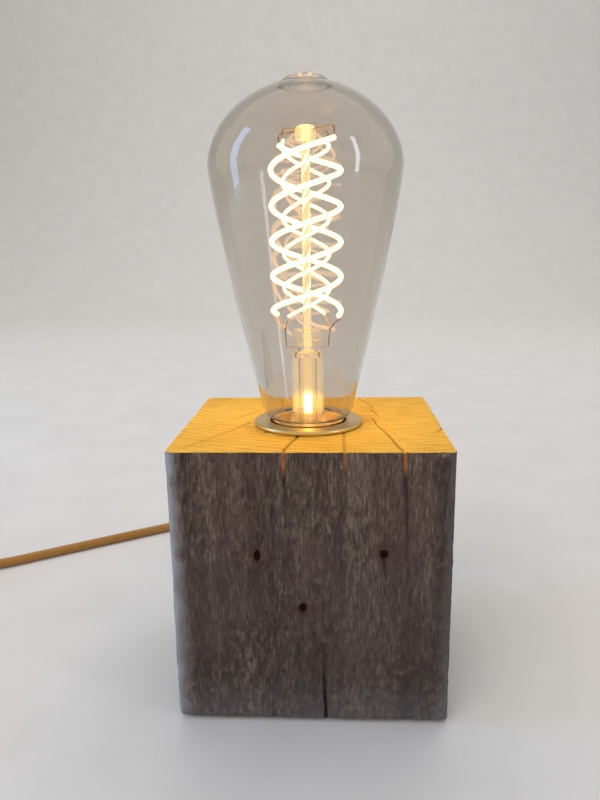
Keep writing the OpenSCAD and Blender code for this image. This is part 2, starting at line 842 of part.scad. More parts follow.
// Where an outer or inner spiral is at height h; turn sets it round the rod
function spiral_at(r, h, turn) =
    let (a = 180 + turn + 360 * (h - coil_left_h) / coil_pitch) [r * cos(a), r * sin(a), h];

function spiral(r, turn, d) =
    let (n = ceil((coil_top_h - coil_low_h) / coil_pitch * 24),
         p = [for (i = [0 : n]) spiral_at(r, coil_low_h + (coil_top_h - coil_low_h) * i / n, turn)])
    concat([p[0] + d * unit(p[0] - p[1])], p, [p[n] + d * unit(p[n] - p[n - 1])]);

module filament(r, turn, d) {
    color("#ffd890") at_lamp() tube(spiral(r, turn, d), d, 6);
}

module filament_1() { filament(coil_r_outer, 0, filament_d); }

module filament_2() { filament(coil_r_outer, 180, filament_d); }

module filament_3() { filament(coil_r_inner, inner_turn, filament_thin_d); }

module filament_4() { filament(coil_r_inner, 180 + inner_turn, filament_thin_d); }

// Ends of the spirals, a step past the lit length
function spiral_low(r, turn, d) = spiral(r, turn, d)[0] - [0, 0, d / 2 + 0.4];
function spiral_top(r, turn, d) =
    let (s = spiral(r, turn, d)) s[len(s) - 1] + [0, 0, d / 2 + 0.4];

// Bent wires from the top bead out to the upper ends of the spirals
module support_wires() {
    high = (top_bead_low_h + top_bead_high_h) / 2 + 0.8;
    color("#c8a070")
    at_lamp()
    for (e = [spiral_top(coil_r_outer, 0, filament_d), spiral_top(coil_r_outer, 180, filament_d),
              spiral_top(coil_r_inner, inner_turn, filament_thin_d),
              spiral_top(coil_r_inner, 180 + inner_turn, filament_thin_d)]) {
        out = unit([e.x, e.y, 0]);
        tube([out * (top_bead_r + 0.05) + [0, 0, high], out * (norm([e.x, e.y]) - 0.5) + [0, 0, high],
              [e.x, e.y, high - 0.8], e], wire_d, 6, [out.y, -out.x, 0]);
    }
}

// Two wires up the stem and out between it and the lower bead, and their arms to the lower ends
// of the spirals
module lead_wires() {
    ends = [[spiral_low(coil_r_outer, 0, filament_d), spiral_low(coil_r_inner, inner_turn, filament_thin_d)],
            [spiral_low(coil_r_outer, 180, filament_d),
             spiral_low(coil_r_inner, 180 + inner_turn, filament_thin_d)]];
    color("#c8a070")
    at_lamp()
    for (k = [0, 1]) {
        s = k == 0 ? -1 : 1;
        knee = [s * (low_bead_r + 2), 0, stem_h + 1.5];
        fork = [s * (low_bead_r + 2.6), 0, low_bead_high_h + 0.3];
        tube([[s * lead_x, 0, board_top_h + 0.05], [s * lead_x, 0, stem_h + 0.9], knee, fork],
             wire_d, 6, [0, 1, 0]);
        for (e = ends[k])
            tube([fork - [s * 0.1, 0, 1], (fork + e) / 2 + [0, 0, 0.4], e], wire_d, 6, [0, 1, 0]);
    }
}

module driver_board() {
    color("#3c6a48")
    at_lamp()
    translate([0, board_t / 2, 0])
        rotate([90, 0, 0])
            linear_extrude(board_t)
                polygon([[-board_low_w / 2, board_low_h], [board_low_w / 2, board_low_h],
                         [board_w / 2, board_low_h + 2], [board_w / 2, board_top_h],
                         [-board_w / 2, board_top_h], [-board_w / 2, board_low_h + 2]]);
}

// Smoothing can, choke and bridge on the board
module driver_parts() {
    color("#30343c")
    at_lamp() {
        translate([-3.6, board_t / 2 + can_r, 0]) rod(can_r, board_low_h + 1, board_low_h + 1 + can_h);
        translate([4, -board_t / 2 - 2.4, 0]) rod(2.4, board_low_h + 2, board_low_h + 8);
        translate([2, board_t / 2, board_low_h + 3]) cube([5, 2.2, 4]);
    }
}

// From the board to the end contact, and to the inside of the cap
module supply_wires() {
    color("#b08050")
    at_lamp() {
        rod(0.4, -cap_drop + 1.3, board_low_h);
        tube([[board_w / 2 - 1, board_t / 2 + 0.35, board_top_h - 1],
              [board_w / 2 - 0.8, board_t / 2 + 0.35, board_top_h + 0.5],
              [board_w / 2, board_t / 2 + 0.4, board_top_h + 1.5]], wire_d, 6, [0, 1, 0]);
    }
}

// ---- cord, switch and plug -----------------------------------------------------------------

run_path = on_table(smooth_path(concat(run_points, [switch_in]), 2));
link_path = on_table(smooth_path(concat([switch_out], link_points, [coil_start + [0, cord_d, 0]]), 3));

module cord_run() {
    color("#a06a2c") tube(run_path, cord_d, 8);
}

module cord_link() {
    color("#a06a2c") tube(link_path, cord_d, 8);
}

function eased(t) = let (u = min(max(t, 0), 1)) u * u * (3 - 2 * u);

// Centre line of the coil at the turned angle a: in and out again at a steady rate, and up one
// layer in the half turn about each reversal
wound = layers * layer_angle;
function coil_radius(a) =
    let (m = a % (2 * layer_angle)) cord_coil_r - turn_step * min(m, 2 * layer_angle - m) / 360;
function coil_height(a) =
    let (k = round(a / layer_angle))
    k == 0 || k == layers
    ? coil_z + layer_step * (k == 0 ? 0 : layers - 1)
    : coil_z + layer_step * (k - 1 + min(max((a - k * layer_angle + 90) / 180, 0), 1));
function coil_point(a) =
    [coil_x + coil_radius(a) * cos(180 + a), coil_y + coil_radius(a) * sin(180 + a), coil_height(a)];

// From the top of the coil straight on and down to the plug on the table
high_z = coil_z + (layers - 1) * layer_step;
tail = [for (t = [0 : 0.125 : 1])
            [coil_x + cord_d + tail_l * t, plug_y, high_z + (plug_z - high_z) * eased(t)]];

coil_path = concat([coil_start + [0, cord_d, 0]],
                   [for (a = [0 : 15 : wound]) coil_point(a)],
                   tail, [[plug_x, plug_y, plug_z]]);

// Least gap between turns, measured on points half a turn or more apart
coil_gap = min([for (i = [0 : len(coil_path) - 13], j = [i + 12 : len(coil_path) - 1])
                    norm(coil_path[i] - coil_path[j])]) - cord_d;
echo(least_gap_between_turns = coil_gap);
echo(cord_length = path_length(run_path) + switch_l + path_length(link_path) + path_length(coil_path));

module cord_coil() {
    color("#a06a2c") tube(coil_path, cord_d, 6, [1, 0, 0]);
}

module coil_tie() {
    depth = turn_step * layer_angle / 360 + cord_d + 0.6;
    height = coil_top_z - tie_t + 0.2;
    color("#2f2b28")
    translate([coil_x, coil_y, 0])
        rotate([0, 0, tie_angle])
            translate([cord_coil_r + cord_d / 2 + 0.3 - depth - tie_t, tie_w / 2, 0])
                rotate([90, 0, 0])
                    linear_extrude(tie_w)
                        difference() {
                            square([depth + 2 * tie_t, height + 2 * tie_t]);
                            translate([tie_t, tie_t]) square([depth, height]);
                        }
}

module at_switch() {
    translate([switch_x, switch_y, 0]) rotate([0, 0, switch_turn]) children();
}

// Outline of the switch housing: straight sides that draw in to the cord at both ends
module switch_outline(inset) {
    l = switch_l / 2 - inset;
    w = switch_w / 2 - inset;
    e = switch_end_w / 2 - inset;
    polygon([[-l, -e], [-l + 12, -w], [l - 12, -w], [l, -e], [l, e], [l - 12, w], [-l + 12, w], [-l, e]]);
}

module switch_hollow(z0, z1) {
    translate([0, 0, z0]) linear_extrude(z1 - z0) switch_outline(switch_wall);
}

module switch_cord_hole() {
    translate([0, 0, parting_z])
        rotate([0, 90, 0]) cylinder(r = switch_hole_r, h = switch_l + 2 * past, center = true);
}

module switch_lower() {
    color("#26221f")
    at_switch()
    difference() {
        linear_extrude(parting_z) switch_outline(0);
        switch_hollow(switch_wall, parting_z + past);
        switch_cord_hole();
        for (s = [-1, 1])
            translate([s * switch_screw_x, 0, 0]) rod(m3_r + snug / 2, -past, switch_wall + past);
    }
    color("#26221f")
    at_switch()
    for (s = [-1, 1])
        translate([s * switch_screw_x, 5.6, switch_wall]) rod(2, -0.2, parting_z - switch_wall);
}

module switch_upper() {
    color("#26221f")
    at_switch()
    difference() {
        union() {
            translate([0, 0, parting_z]) linear_extrude(switch_h - parting_z) switch_outline(0);
        }
        switch_hollow(parting_z - past, switch_h - switch_wall);
        switch_cord_hole();
        translate([-rocker_l / 2 - rocker_gap, -rocker_w / 2 - 0.4, switch_h - switch_wall - past])
            cube([rocker_l + 2 * rocker_gap, rocker_w + 0.8, switch_wall + 2 * past]);
    }
    // cheeks that carry the rocker's pins
    color("#26221f")
    at_switch()
    for (s = [-1, 1])
        difference() {
            translate([-3.2, s > 0 ? rocker_w / 2 + 0.4 : -rocker_w / 2 - 0.4 - rocker_pin_l,
                       rocker_pivot_z - 4])
                cube([6.4, rocker_pin_l, switch_h - switch_wall - rocker_pivot_z + 4 + 0.2]);
            translate([0, 0, rocker_pivot_z])
                rotate([90, 0, 0]) cylinder(r = rocker_pin_r + 0.05, h = switch_w, center = true);
        }
}

// The rocker lies tipped to its on side; its pins turn in the cheeks
module switch_rocker() {
    l = rocker_l / 2;
    color("#1b1816")
    at_switch()
    translate([0, 0, rocker_pivot_z])
        rotate([0, rocker_tilt, 0])
            rotate([90, 0, 0]) {
                translate([0, 0, -rocker_w / 2])
                    linear_extrude(rocker_w)
                        polygon([[-l, 1.2], [-4, -rocker_hub_h], [4, -rocker_hub_h], [l, 1.2],
                                 [l, rocker_rise + 1.4], [0, rocker_rise], [-l, rocker_rise + 1.4]]);
                cylinder(r = rocker_pin_r, h = rocker_w + 2 * rocker_pin_l, center = true);
            }
}

// Two brass strips with their clamps, one on each side of the gap that the rocker closes
module switch_contacts() {
    color("#c9a24a")
    at_switch()
    for (s = [-1, 1]) {
        translate([s > 0 ? contact_x : -contact_x - 9, -3, switch_wall]) cube([9, 6, 0.8]);
        translate([s > 0 ? contact_x + 4 : -contact_x - 9, -3, switch_wall]) cube([5, 6, 2.2]);
    }
}

// The live core stops at a clamp on each side, the neutral core runs straight through
module switch_wires() {
    r = core_d / 2;
    color("#7a4a2a")
    at_switch() {
        tube([for (x = [-sheath_end, 0, sheath_end]) [x, 1.15, parting_z + 0.3]], core_d, 8, [0, 1, 0]);
        for (s = [-1, 1])
            tube([[s * sheath_end, -1.15, parting_z], [s * (sheath_end - 4), -1.15, parting_z],
                  [s * 17, -1.3, 5.6], [s * 12.5, -1.3, switch_wall + 2.2 + r + snug]],
                 core_d, 8, [0, 1, 0]);
    }
}

module switch_screws() {
    color("#b9bcc0")
    at_switch()
    for (s = [-1, 1])
        translate([s * switch_screw_x, 0, 0]) rod(m3_r, 0.2, switch_wall + 1.8);
}

module at_plug() {
    translate([plug_x, plug_y, plug_z]) children();
}

module plug_body() {
    w = plug_w / 2;
    x0 = relief_l;
    x1 = relief_l + plug_l;
    color("#26221f")
    at_plug()
    difference() {
        union() {
            translate([0, 0, -plug_t / 2])
                linear_extrude(plug_t)
                    polygon([[x0, -7], [x0 + 14, -w + 1], [x0 + 18, -w], [x1 - 1, -w], [x1, -w + 1],
                             [x1, w - 1], [x1 - 1, w], [x0 + 18, w], [x0 + 14, w - 1], [x0, 7]]);
            rotate([0, 90, 0]) cylinder(r1 = cord_d / 2 + 1.2, r2 = cord_d / 2 + 2.6, h = relief_l + 0.2);
        }
        for (s = [-1, 1])
            translate([x1 - pin_in, s * pin_gap / 2, 0])
                rotate([0, 90, 0]) cylinder(r = pin_d / 2 + 0.02, h = pin_in + past);
    }
}

module plug_pins() {
    x1 = relief_l + plug_l;
    color("#c9ccd0")
    at_plug()
    for (s = [-1, 1])
        translate([0, s * pin_gap / 2, 0])
            rotate([0, 90, 0]) {
                rod(pin_d / 2, x1 - pin_in, x1);
                rod(pin_d / 2 - 0.35, x1, x1 + sleeve_l);
                rod(pin_d / 2, x1 + sleeve_l, x1 + pin_l - 1);
                translate([0, 0, x1 + pin_l - 1]) cylinder(r1 = pin_d / 2, r2 = pin_d / 2 - 0.8, h = 1);
            }
}

module pin_sleeves() {
    x1 = relief_l + plug_l;
    color("#26221f")
    at_plug()
    for (s = [-1, 1])
        translate([0, s * pin_gap / 2, 0])
            rotate([0, 90, 0]) sleeve(pin_d / 2 - 0.05, pin_d / 2 - 0.32, x1 + 0.02, x1 + sleeve_l - 0.02);
}

timber_block();
felt_base();
trim_ring();
holder_body();
screw_shell();
neutral_strip();
centre_contact();
holder_base();
line_terminal();
neutral_terminal();
terminal_screws();
holder_screws();
mounting_bracket();
bracket_screws();
threaded_nipple();
lock_nut();
cord_grip();
grip_screw();
core_line();
core_neutral();
cord_in_block();
glass_envelope();
bulb_cap();
cap_cement();
cap_insulator();
cap_contact();
stem_tube();
exhaust_tube();
centre_rod();
lower_bead();
top_bead();
support_wires();
lead_wires();
filament_1();
filament_2();
filament_3();
filament_4();
driver_board();
driver_parts();
supply_wires();
cord_run();
cord_link();
cord_coil();
coil_tie();
switch_lower();
switch_upper();
switch_rocker();
switch_contacts();
switch_wires();
switch_screws();
plug_body();
plug_pins();
pin_sleeves();
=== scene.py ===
# %% [markdown]
# # A bare lamp on a block of old timber
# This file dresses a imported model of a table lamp: a cube-like block of reclaimed timber with a
# lampholder sunk in its top, a clear pear-shaped lamp with spiral filaments, and a textile cord.
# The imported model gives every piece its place. Blender gives the pieces that show their fine
# shape and their finish. Lengths are in millimetres, unless a comment says that they are metres.

import math

import bpy
import numpy as np
from mathutils import Matrix, Vector


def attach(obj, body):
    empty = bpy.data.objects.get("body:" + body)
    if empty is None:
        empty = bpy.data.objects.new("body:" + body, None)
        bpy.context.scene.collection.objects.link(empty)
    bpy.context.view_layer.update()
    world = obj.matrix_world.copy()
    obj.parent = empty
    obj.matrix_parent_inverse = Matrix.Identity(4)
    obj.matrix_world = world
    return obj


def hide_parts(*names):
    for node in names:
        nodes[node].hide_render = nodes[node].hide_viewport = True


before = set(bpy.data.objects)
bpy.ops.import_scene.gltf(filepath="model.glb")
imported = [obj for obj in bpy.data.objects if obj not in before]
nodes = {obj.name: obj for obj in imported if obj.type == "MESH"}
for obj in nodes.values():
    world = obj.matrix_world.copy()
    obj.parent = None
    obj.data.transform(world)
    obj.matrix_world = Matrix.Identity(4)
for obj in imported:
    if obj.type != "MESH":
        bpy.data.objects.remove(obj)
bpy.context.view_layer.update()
print("nodes in the frame:", len(nodes))

# %% [markdown]
# ## Sizes that the pieces share
# The origin is at table level under the middle of the block. The lamp's own heights are counted
# from the top of the block, on the axis of its holder, as its maker would count them.

# %% Sizes
MM = 0.001
BLOCK_W, BLOCK_D, TOP = 90.0, 80.0, 94.0
FELT = 1.5
SOCKET = (-1.5, -3.0)
CORD_D = 4.6


def metres(point):
    """A point given in millimetres, in the metres that Blender counts in."""
    return tuple(c * MM for c in point)


def at_lamp(x, y, h):
    """A point given from the holder's axis and the top of the block, in metres."""
    return metres((x + SOCKET[0], y + SOCKET[1], h + TOP))


def linear(hex_colour):
    """An sRGB hex colour as the linear numbers that Blender reads."""
    parts = [int(hex_colour[i:i + 2], 16) / 255 for i in (1, 3, 5)]
    return (*[c / 12.92 if c <= 0.04045 else ((c + 0.055) / 1.055) ** 2.4 for c in parts], 1.0)


print("block", BLOCK_W, "x", BLOCK_D, "x", TOP, "mm")

# %% [markdown]
# ## Camera
# The photograph was taken by hand from a little above the block, close up, so the block narrows
# towards its foot. The camera's place and tilt were worked out from the block's corners and the
# outline of the lamp. The frame is 600 x 800, so the lens is set from the long side.

# %% Camera
SENSOR, FOCAL_PIXELS, LONG_SIDE_PIXELS = 36.0, 673.0, 800.0
CAMERA_AT = (6.84, -236.6, 153.7)
CAMERA_PITCH, CAMERA_YAW, CAMERA_ROLL = 12.41, -2.75, -0.76


def make_camera():
    pitch, yaw, roll = (math.radians(a) for a in (CAMERA_PITCH, CAMERA_YAW, CAMERA_ROLL))
    forward = Vector((math.sin(yaw) * math.cos(pitch), math.cos(yaw) * math.cos(pitch),
                      -math.sin(pitch)))
    right = Vector((math.cos(yaw), -math.sin(yaw), 0))
    up = right.cross(forward)
    across = math.cos(roll) * right + math.sin(roll) * up
    upward = -math.sin(roll) * right + math.cos(roll) * up
    camera = bpy.data.objects.new("camera", bpy.data.cameras.new("camera"))
    camera.data.sensor_width = SENSOR
    camera.data.lens = SENSOR * FOCAL_PIXELS / LONG_SIDE_PIXELS
    camera.data.clip_start = 10 * MM
    turn = Matrix((across, upward, -forward)).transposed().to_4x4()
    camera.matrix_world = Matrix.Translation(metres(CAMERA_AT)) @ turn
    bpy.context.scene.collection.objects.link(camera)
    bpy.context.scene.camera = camera
    return camera


camera = make_camera()
print("lens", round(camera.data.lens, 1), "mm")

# %% [markdown]
# ## Meshes made in code
# Three ways of making a mesh serve the pieces here. Turned pieces, such as the glass and the
# ring, are a profile swept round the axis. Cords are a round section swept along a line. Flat
# pieces are rings of points laid on each other. All keep the real size exactly, which modelling
# by eye wouldn't.

# %% Helpers for meshes
def around(count):
    """The cosine and sine of so many even steps round a circle."""
    return [(math.cos(a), math.sin(a)) for a in (2 * math.pi * k / count for k in range(count))]


def arc(first, last, step):
    """Angles from the first to the last, given in whole degrees, in radians."""
    return [math.radians(d) for d in range(first, last + 1, step)]


def band(rows, count, first=0, closed=False):
    """The faces between rows of points, each row a ring with the same count of points."""
    faces = []
    for i in range(rows - (not closed)):
        low, high = first + i * count, first + (i + 1) % rows * count
        faces += [(low + k, low + (k + 1) % count, high + (k + 1) % count, high + k)
                  for k in range(count)]
    return faces


def ends(rows, count):
    """The flat faces on the first and the last of the rows."""
    return [tuple(range(count - 1, -1, -1)), tuple((rows - 1) * count + k for k in range(count))]


def add_piece(name, points, faces, body, sharp):
    """A smooth mesh from points in metres, sharp above an angle, riding on a body of the frame."""
    mesh = bpy.data.meshes.new(name)
    mesh.from_pydata([tuple(map(float, p)) for p in points], [], faces)
    mesh.update()
    mesh.polygons.foreach_set("use_smooth", [True] * len(mesh.polygons))
    mesh.set_sharp_from_angle(angle=math.radians(sharp))
    piece = bpy.data.objects.new(name, mesh)
    bpy.context.scene.collection.objects.link(piece)
    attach(piece, body)
    return piece


def turned(name, profile, body, sides, sharp):
    """A closed profile of (radius, height) turned round the lamp's axis, its outside going up."""
    points, rings, faces = [], [], []
    for r, h in profile:
        first = len(points)
        if r == 0:
            points.append(at_lamp(0, 0, h))
            rings.append([first] * sides)
        else:
            points += [at_lamp(r * c, r * s, h) for c, s in around(sides)]
            rings.append(list(range(first, first + sides)))
    for low, high in zip(rings, rings[1:] + rings[:1]):
        for k in range(sides):
            m = (k + 1) % sides
            face = list(dict.fromkeys((low[k], low[m], high[m], high[k])))
            if len(face) > 2:
                faces.append(face)
    return add_piece(name, points, faces, body, sharp)


def swept(name, path, diameter, body, sides=16):
    """A round cord along the path, with u round it and v along it in metres for the weave."""
    path = [Vector(p) for p in path]
    last = len(path) - 1
    points, along = [], [0.0]
    side = Vector((0, 0, 1))
    for i, p in enumerate(path):
        t = (path[min(i + 1, last)] - path[max(i - 1, 0)]).normalized()
        side = (side - side.dot(t) * t).normalized() if abs(side.dot(t)) < 0.999 else Vector((1, 0, 0))
        other = t.cross(side)
        if i:
            along.append(along[-1] + (p - path[i - 1]).length)
        points += [p + diameter / 2 * (c * side + s * other) for c, s in around(sides)]
    faces = band(last + 1, sides) + ends(last + 1, sides)
    piece = add_piece(name, points, faces, body, sharp=60)
    uv = piece.data.uv_layers.new(name="weave")
    for i in range(last):
        for k in range(sides):
            for corner, (u, v) in enumerate(((k, i), (k + 1, i), (k + 1, i + 1), (k, i + 1))):
                uv.data[(i * sides + k) * 4 + corner].uv = (u / sides, along[v])
    return piece


def layered(name, rings, body, closed=False):
    """A skin through rings of points, either closed on itself or with flat ends."""
    count, rows = len(rings[0]), len(rings)
    faces = band(rows, count, closed=closed) + ([] if closed else ends(rows, count))
    return add_piece(name, [metres(p) for ring in rings for p in ring], faces, body, sharp=40)


def rounded_rectangle(w, d, r, step=6):
    """The outline of a rectangle with round corners, anticlockwise."""
    made = []
    for quarter, (sx, sy) in enumerate(((1, 1), (-1, 1), (-1, -1), (1, -1))):
        for n in range(step + 1):
            a = math.radians(90 * (quarter + n / step))
            made.append((sx * (w / 2 - r) + r * math.cos(a), sy * (d / 2 - r) + r * math.sin(a)))
    return made


print("helpers ready")

# %% [markdown]
# ## Cord
# A textile cord has a stiff inner lead under its braid, so it lies in wide curves and never kinks.
# The photograph shows it come out from behind the block and run to the picture's left edge. The
# rest of its 1.86 m, with the rocker switch, the coil and the plug, lies just outside the picture.
# The route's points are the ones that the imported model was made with.

# %% Cord routes
RUN = [(-1.5, 40, 4.1), (-1.5, 46, 3.6), (-1.5, 54, 2.6), (-1.5, 68, 2.3), (-2, 84, 2.3),
       (-5, 99, 2.3), (-13, 114, 2.3), (-26, 124.5, 2.3), (-43, 130.2, 2.3), (-60, 129.8, 2.3),
       (-76, 122.9, 2.3), (-90.5, 114, 2.3), (-109, 102.2, 2.3), (-127.4, 90.3, 2.3),
       (-143.8, 79.6, 2.3), (-159, 69.8, 2.5), (-170, 63, 4.4), (-176, 59.4, 6.2)]
LINK = [(-238.5, 23.1, 6.2), (-245, 19.3, 5), (-251.4, 15.5, 4.2), (-258.4, 10.1, 3.7),
        (-263.8, 3.1, 3.4), (-267.2, -5.1, 3.3)]
SWITCH, SWITCH_TURN, SWITCH_REACH, PARTING = (-207.0, 41.4), math.radians(30.2), 27.0, 6.5
COIL, COIL_R, COIL_LOW, TURN_STEP = (-236.0, -20.0), 32.4, 3.3, 5.1
LAYERS, LAYER_STEP, LAYER_ANGLE, POINT_ANGLE = 4, 5.05, 742.5, 11.25
TAIL, TAIL_STEPS, PLUG_Z = 40.0, 12, 6.85


def smooth_path(points, steps):
    """A smooth curve through the points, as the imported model's cord follows it, in metres."""
    last = len(points) - 1
    made = []
    for i in range(last):
        near = (max(i - 1, 0), i, i + 1, min(i + 2, last))
        a, b, c, d = (np.array(points[j], float) for j in near)
        for t in (j / steps for j in range(steps)):
            made.append(0.5 * (2 * b + (c - a) * t + (2 * a - 5 * b + 4 * c - d) * t * t
                               + (3 * b - a - 3 * c + d) * t ** 3))
    made.append(np.array(points[-1], float))
    return [metres((x, y, max(z, CORD_D / 2))) for x, y, z in made]


def eased(t):
    return t * t * (3 - 2 * t)


def coil_point(angle):
    """The coil's centre line: in and out again at a steady rate, one layer up at each reversal."""
    m = angle % (2 * LAYER_ANGLE)
    r = COIL_R - TURN_STEP * min(m, 2 * LAYER_ANGLE - m) / 360
    k = round(angle / LAYER_ANGLE)
    climbed = min(max((angle - k * LAYER_ANGLE + 90) / 180, 0), 1)
    layer = 0 if k == 0 else LAYERS - 1 if k == LAYERS else k - 1 + climbed
    turn = math.radians(180 + angle)
    return (COIL[0] + r * math.cos(turn), COIL[1] + r * math.sin(turn), COIL_LOW + LAYER_STEP * layer)


def switch_end(s):
    """Where the cord meets the switch: 1 for the end towards the block, -1 for the other."""
    return (SWITCH[0] + s * SWITCH_REACH * math.cos(SWITCH_TURN),
            SWITCH[1] + s * SWITCH_REACH * math.sin(SWITCH_TURN), PARTING)


def length(path):
    return sum((Vector(b) - Vector(a)).length for a, b in zip(path, path[1:]))


run_path = smooth_path(RUN + [switch_end(1)], 4)
coil_start = (COIL[0] - COIL_R, COIL[1] + CORD_D, COIL_LOW)
coil_top = COIL_LOW + (LAYERS - 1) * LAYER_STEP
coil = [coil_point(a * POINT_ANGLE) for a in range(int(LAYERS * LAYER_ANGLE / POINT_ANGLE) + 1)]
tail = [(COIL[0] + CORD_D + TAIL * t, COIL[1] - COIL_R, coil_top + (PLUG_Z - coil_top) * eased(t))
        for t in (n / TAIL_STEPS for n in range(TAIL_STEPS + 1))]
into_plug = (COIL[0] + TAIL + 2 * CORD_D, COIL[1] - COIL_R, PLUG_Z)
rest_path = smooth_path([switch_end(-1)] + LINK + [coil_start], 3)
rest_path += [metres(p) for p in coil + tail + [into_plug]]
print("cord to the switch", round(length(run_path), 3), "m, on to the plug", round(length(rest_path), 3), "m")

# %% Cord pieces
cord_to_switch = swept("cord_to_switch", run_path, CORD_D * MM, "base")
cord_to_plug = swept("cord_to_plug", rest_path, CORD_D * MM, "base", sides=14)
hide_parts("cord_run")
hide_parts("cord_link", "cord_coil")

# inside the block the cord drops down the well and turns into the groove
BEND_R, EXIT_Z = 18.0, 4.1
drop = [(0, z) for z in (53.95, 46, 32, EXIT_Z + BEND_R + 3)]
drop += [(BEND_R * (1 - math.cos(a)), EXIT_Z + BEND_R * (1 - math.sin(a))) for a in arc(0, 90, 9)]
inside_path = [metres((SOCKET[0], SOCKET[1] + y, z)) for y, z in drop] + [run_path[0]]
cord_inside = swept("cord_inside", inside_path, CORD_D * MM, "base")
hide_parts("cord_in_block")

# a strip of hook-and-loop tape goes once round the coil
TAPE_W, TAPE_T, TAPE_ANGLE = 9.0, 0.8, math.radians(75)
TAPE_SECTION = [(-0.5, 0), (-0.47, 0.5), (0.47, 0.5), (0.5, 0), (0.47, -0.5), (-0.47, -0.5)]
coil_wide = TURN_STEP * LAYER_ANGLE / 360 + CORD_D + 0.6
tape_loop = rounded_rectangle(coil_wide + TAPE_T, coil_top + CORD_D / 2 + 0.2, 3.0)
tape_r = COIL_R + CORD_D / 2 + 0.3 - coil_wide / 2
tape_z = (coil_top + CORD_D / 2 + 1.0) / 2
tape_rings = []
for (r, z), (next_r, next_z) in zip(tape_loop, tape_loop[1:] + tape_loop[:1]):
    size = math.hypot(next_r - r, next_z - z)
    ring = []
    for across, out in TAPE_SECTION:
        reach = tape_r + r + out * TAPE_T * (next_z - z) / size
        ring.append((COIL[0] + reach * math.cos(TAPE_ANGLE) - across * TAPE_W * math.sin(TAPE_ANGLE),
                     COIL[1] + reach * math.sin(TAPE_ANGLE) + across * TAPE_W * math.cos(TAPE_ANGLE),
                     tape_z + z - out * TAPE_T * (next_r - r) / size))
    tape_rings.append(ring)
tape = layered("coil_tape", tape_rings, "base", closed=True)
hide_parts("coil_tie")
print("cord pieces: 3, and a tape")

# %% [markdown]
# ## Timber block
# The block is sawn from an old beam. Its sides were out in the weather: the soft wood between
# the growth rings has worn back, so fine ridges run down them, and the fibres stand up towards
# the foot. Its top is a fresh saw cut across the grain, with checks that run out from the heart.
# A displacement modifier on a cube would blur the checks, so the block is made as a grid whose
# points are moved in or out by the relief. The same numbers are kept with the mesh as attributes,
# so that the colour follows the relief.

# %% Noise for the relief
def noise(x, y, seed):
    """Smooth random values from -1 to 1, one to each unit of x and y."""
    xi, yi = np.floor(x).astype(np.int64), np.floor(y).astype(np.int64)
    fx, fy = x - xi, y - yi
    fx, fy = fx * fx * (3 - 2 * fx), fy * fy * (3 - 2 * fy)

    def corner(a, b):
        n = (a * 374761393 + b * 668265263 + seed * 974711) & 0xFFFFFFFF
        n = ((n ^ (n >> 13)) * 1274126177) & 0xFFFFFFFF
        return ((n ^ (n >> 16)) & 0xFFFF) / 32767.5 - 1

    low = corner(xi, yi) * (1 - fx) + corner(xi + 1, yi) * fx
    high = corner(xi, yi + 1) * (1 - fx) + corner(xi + 1, yi + 1) * fx
    return low * (1 - fy) + high * fy


def rough(x, y, seed):
    """Noise with two layers of finer noise on it."""
    return sum(noise(x * 2 ** i, y * 2 ** i, seed + i) / 2 ** i for i in range(3)) / 1.6


print("noise from", noise(np.array([0.3]), np.array([0.7]), 1)[0])

# %% [markdown]
# The knots and checks stand where the photograph shows them. A knot is a place on the front and
# a radius; it is small, and the fibres bend round it. A check is a line of points on its face,
# with half its width at its first and last point. A real check may be a hair's width, less than
# the grid's step, so a thin one is drawn one step wide, but less dark and less deep.

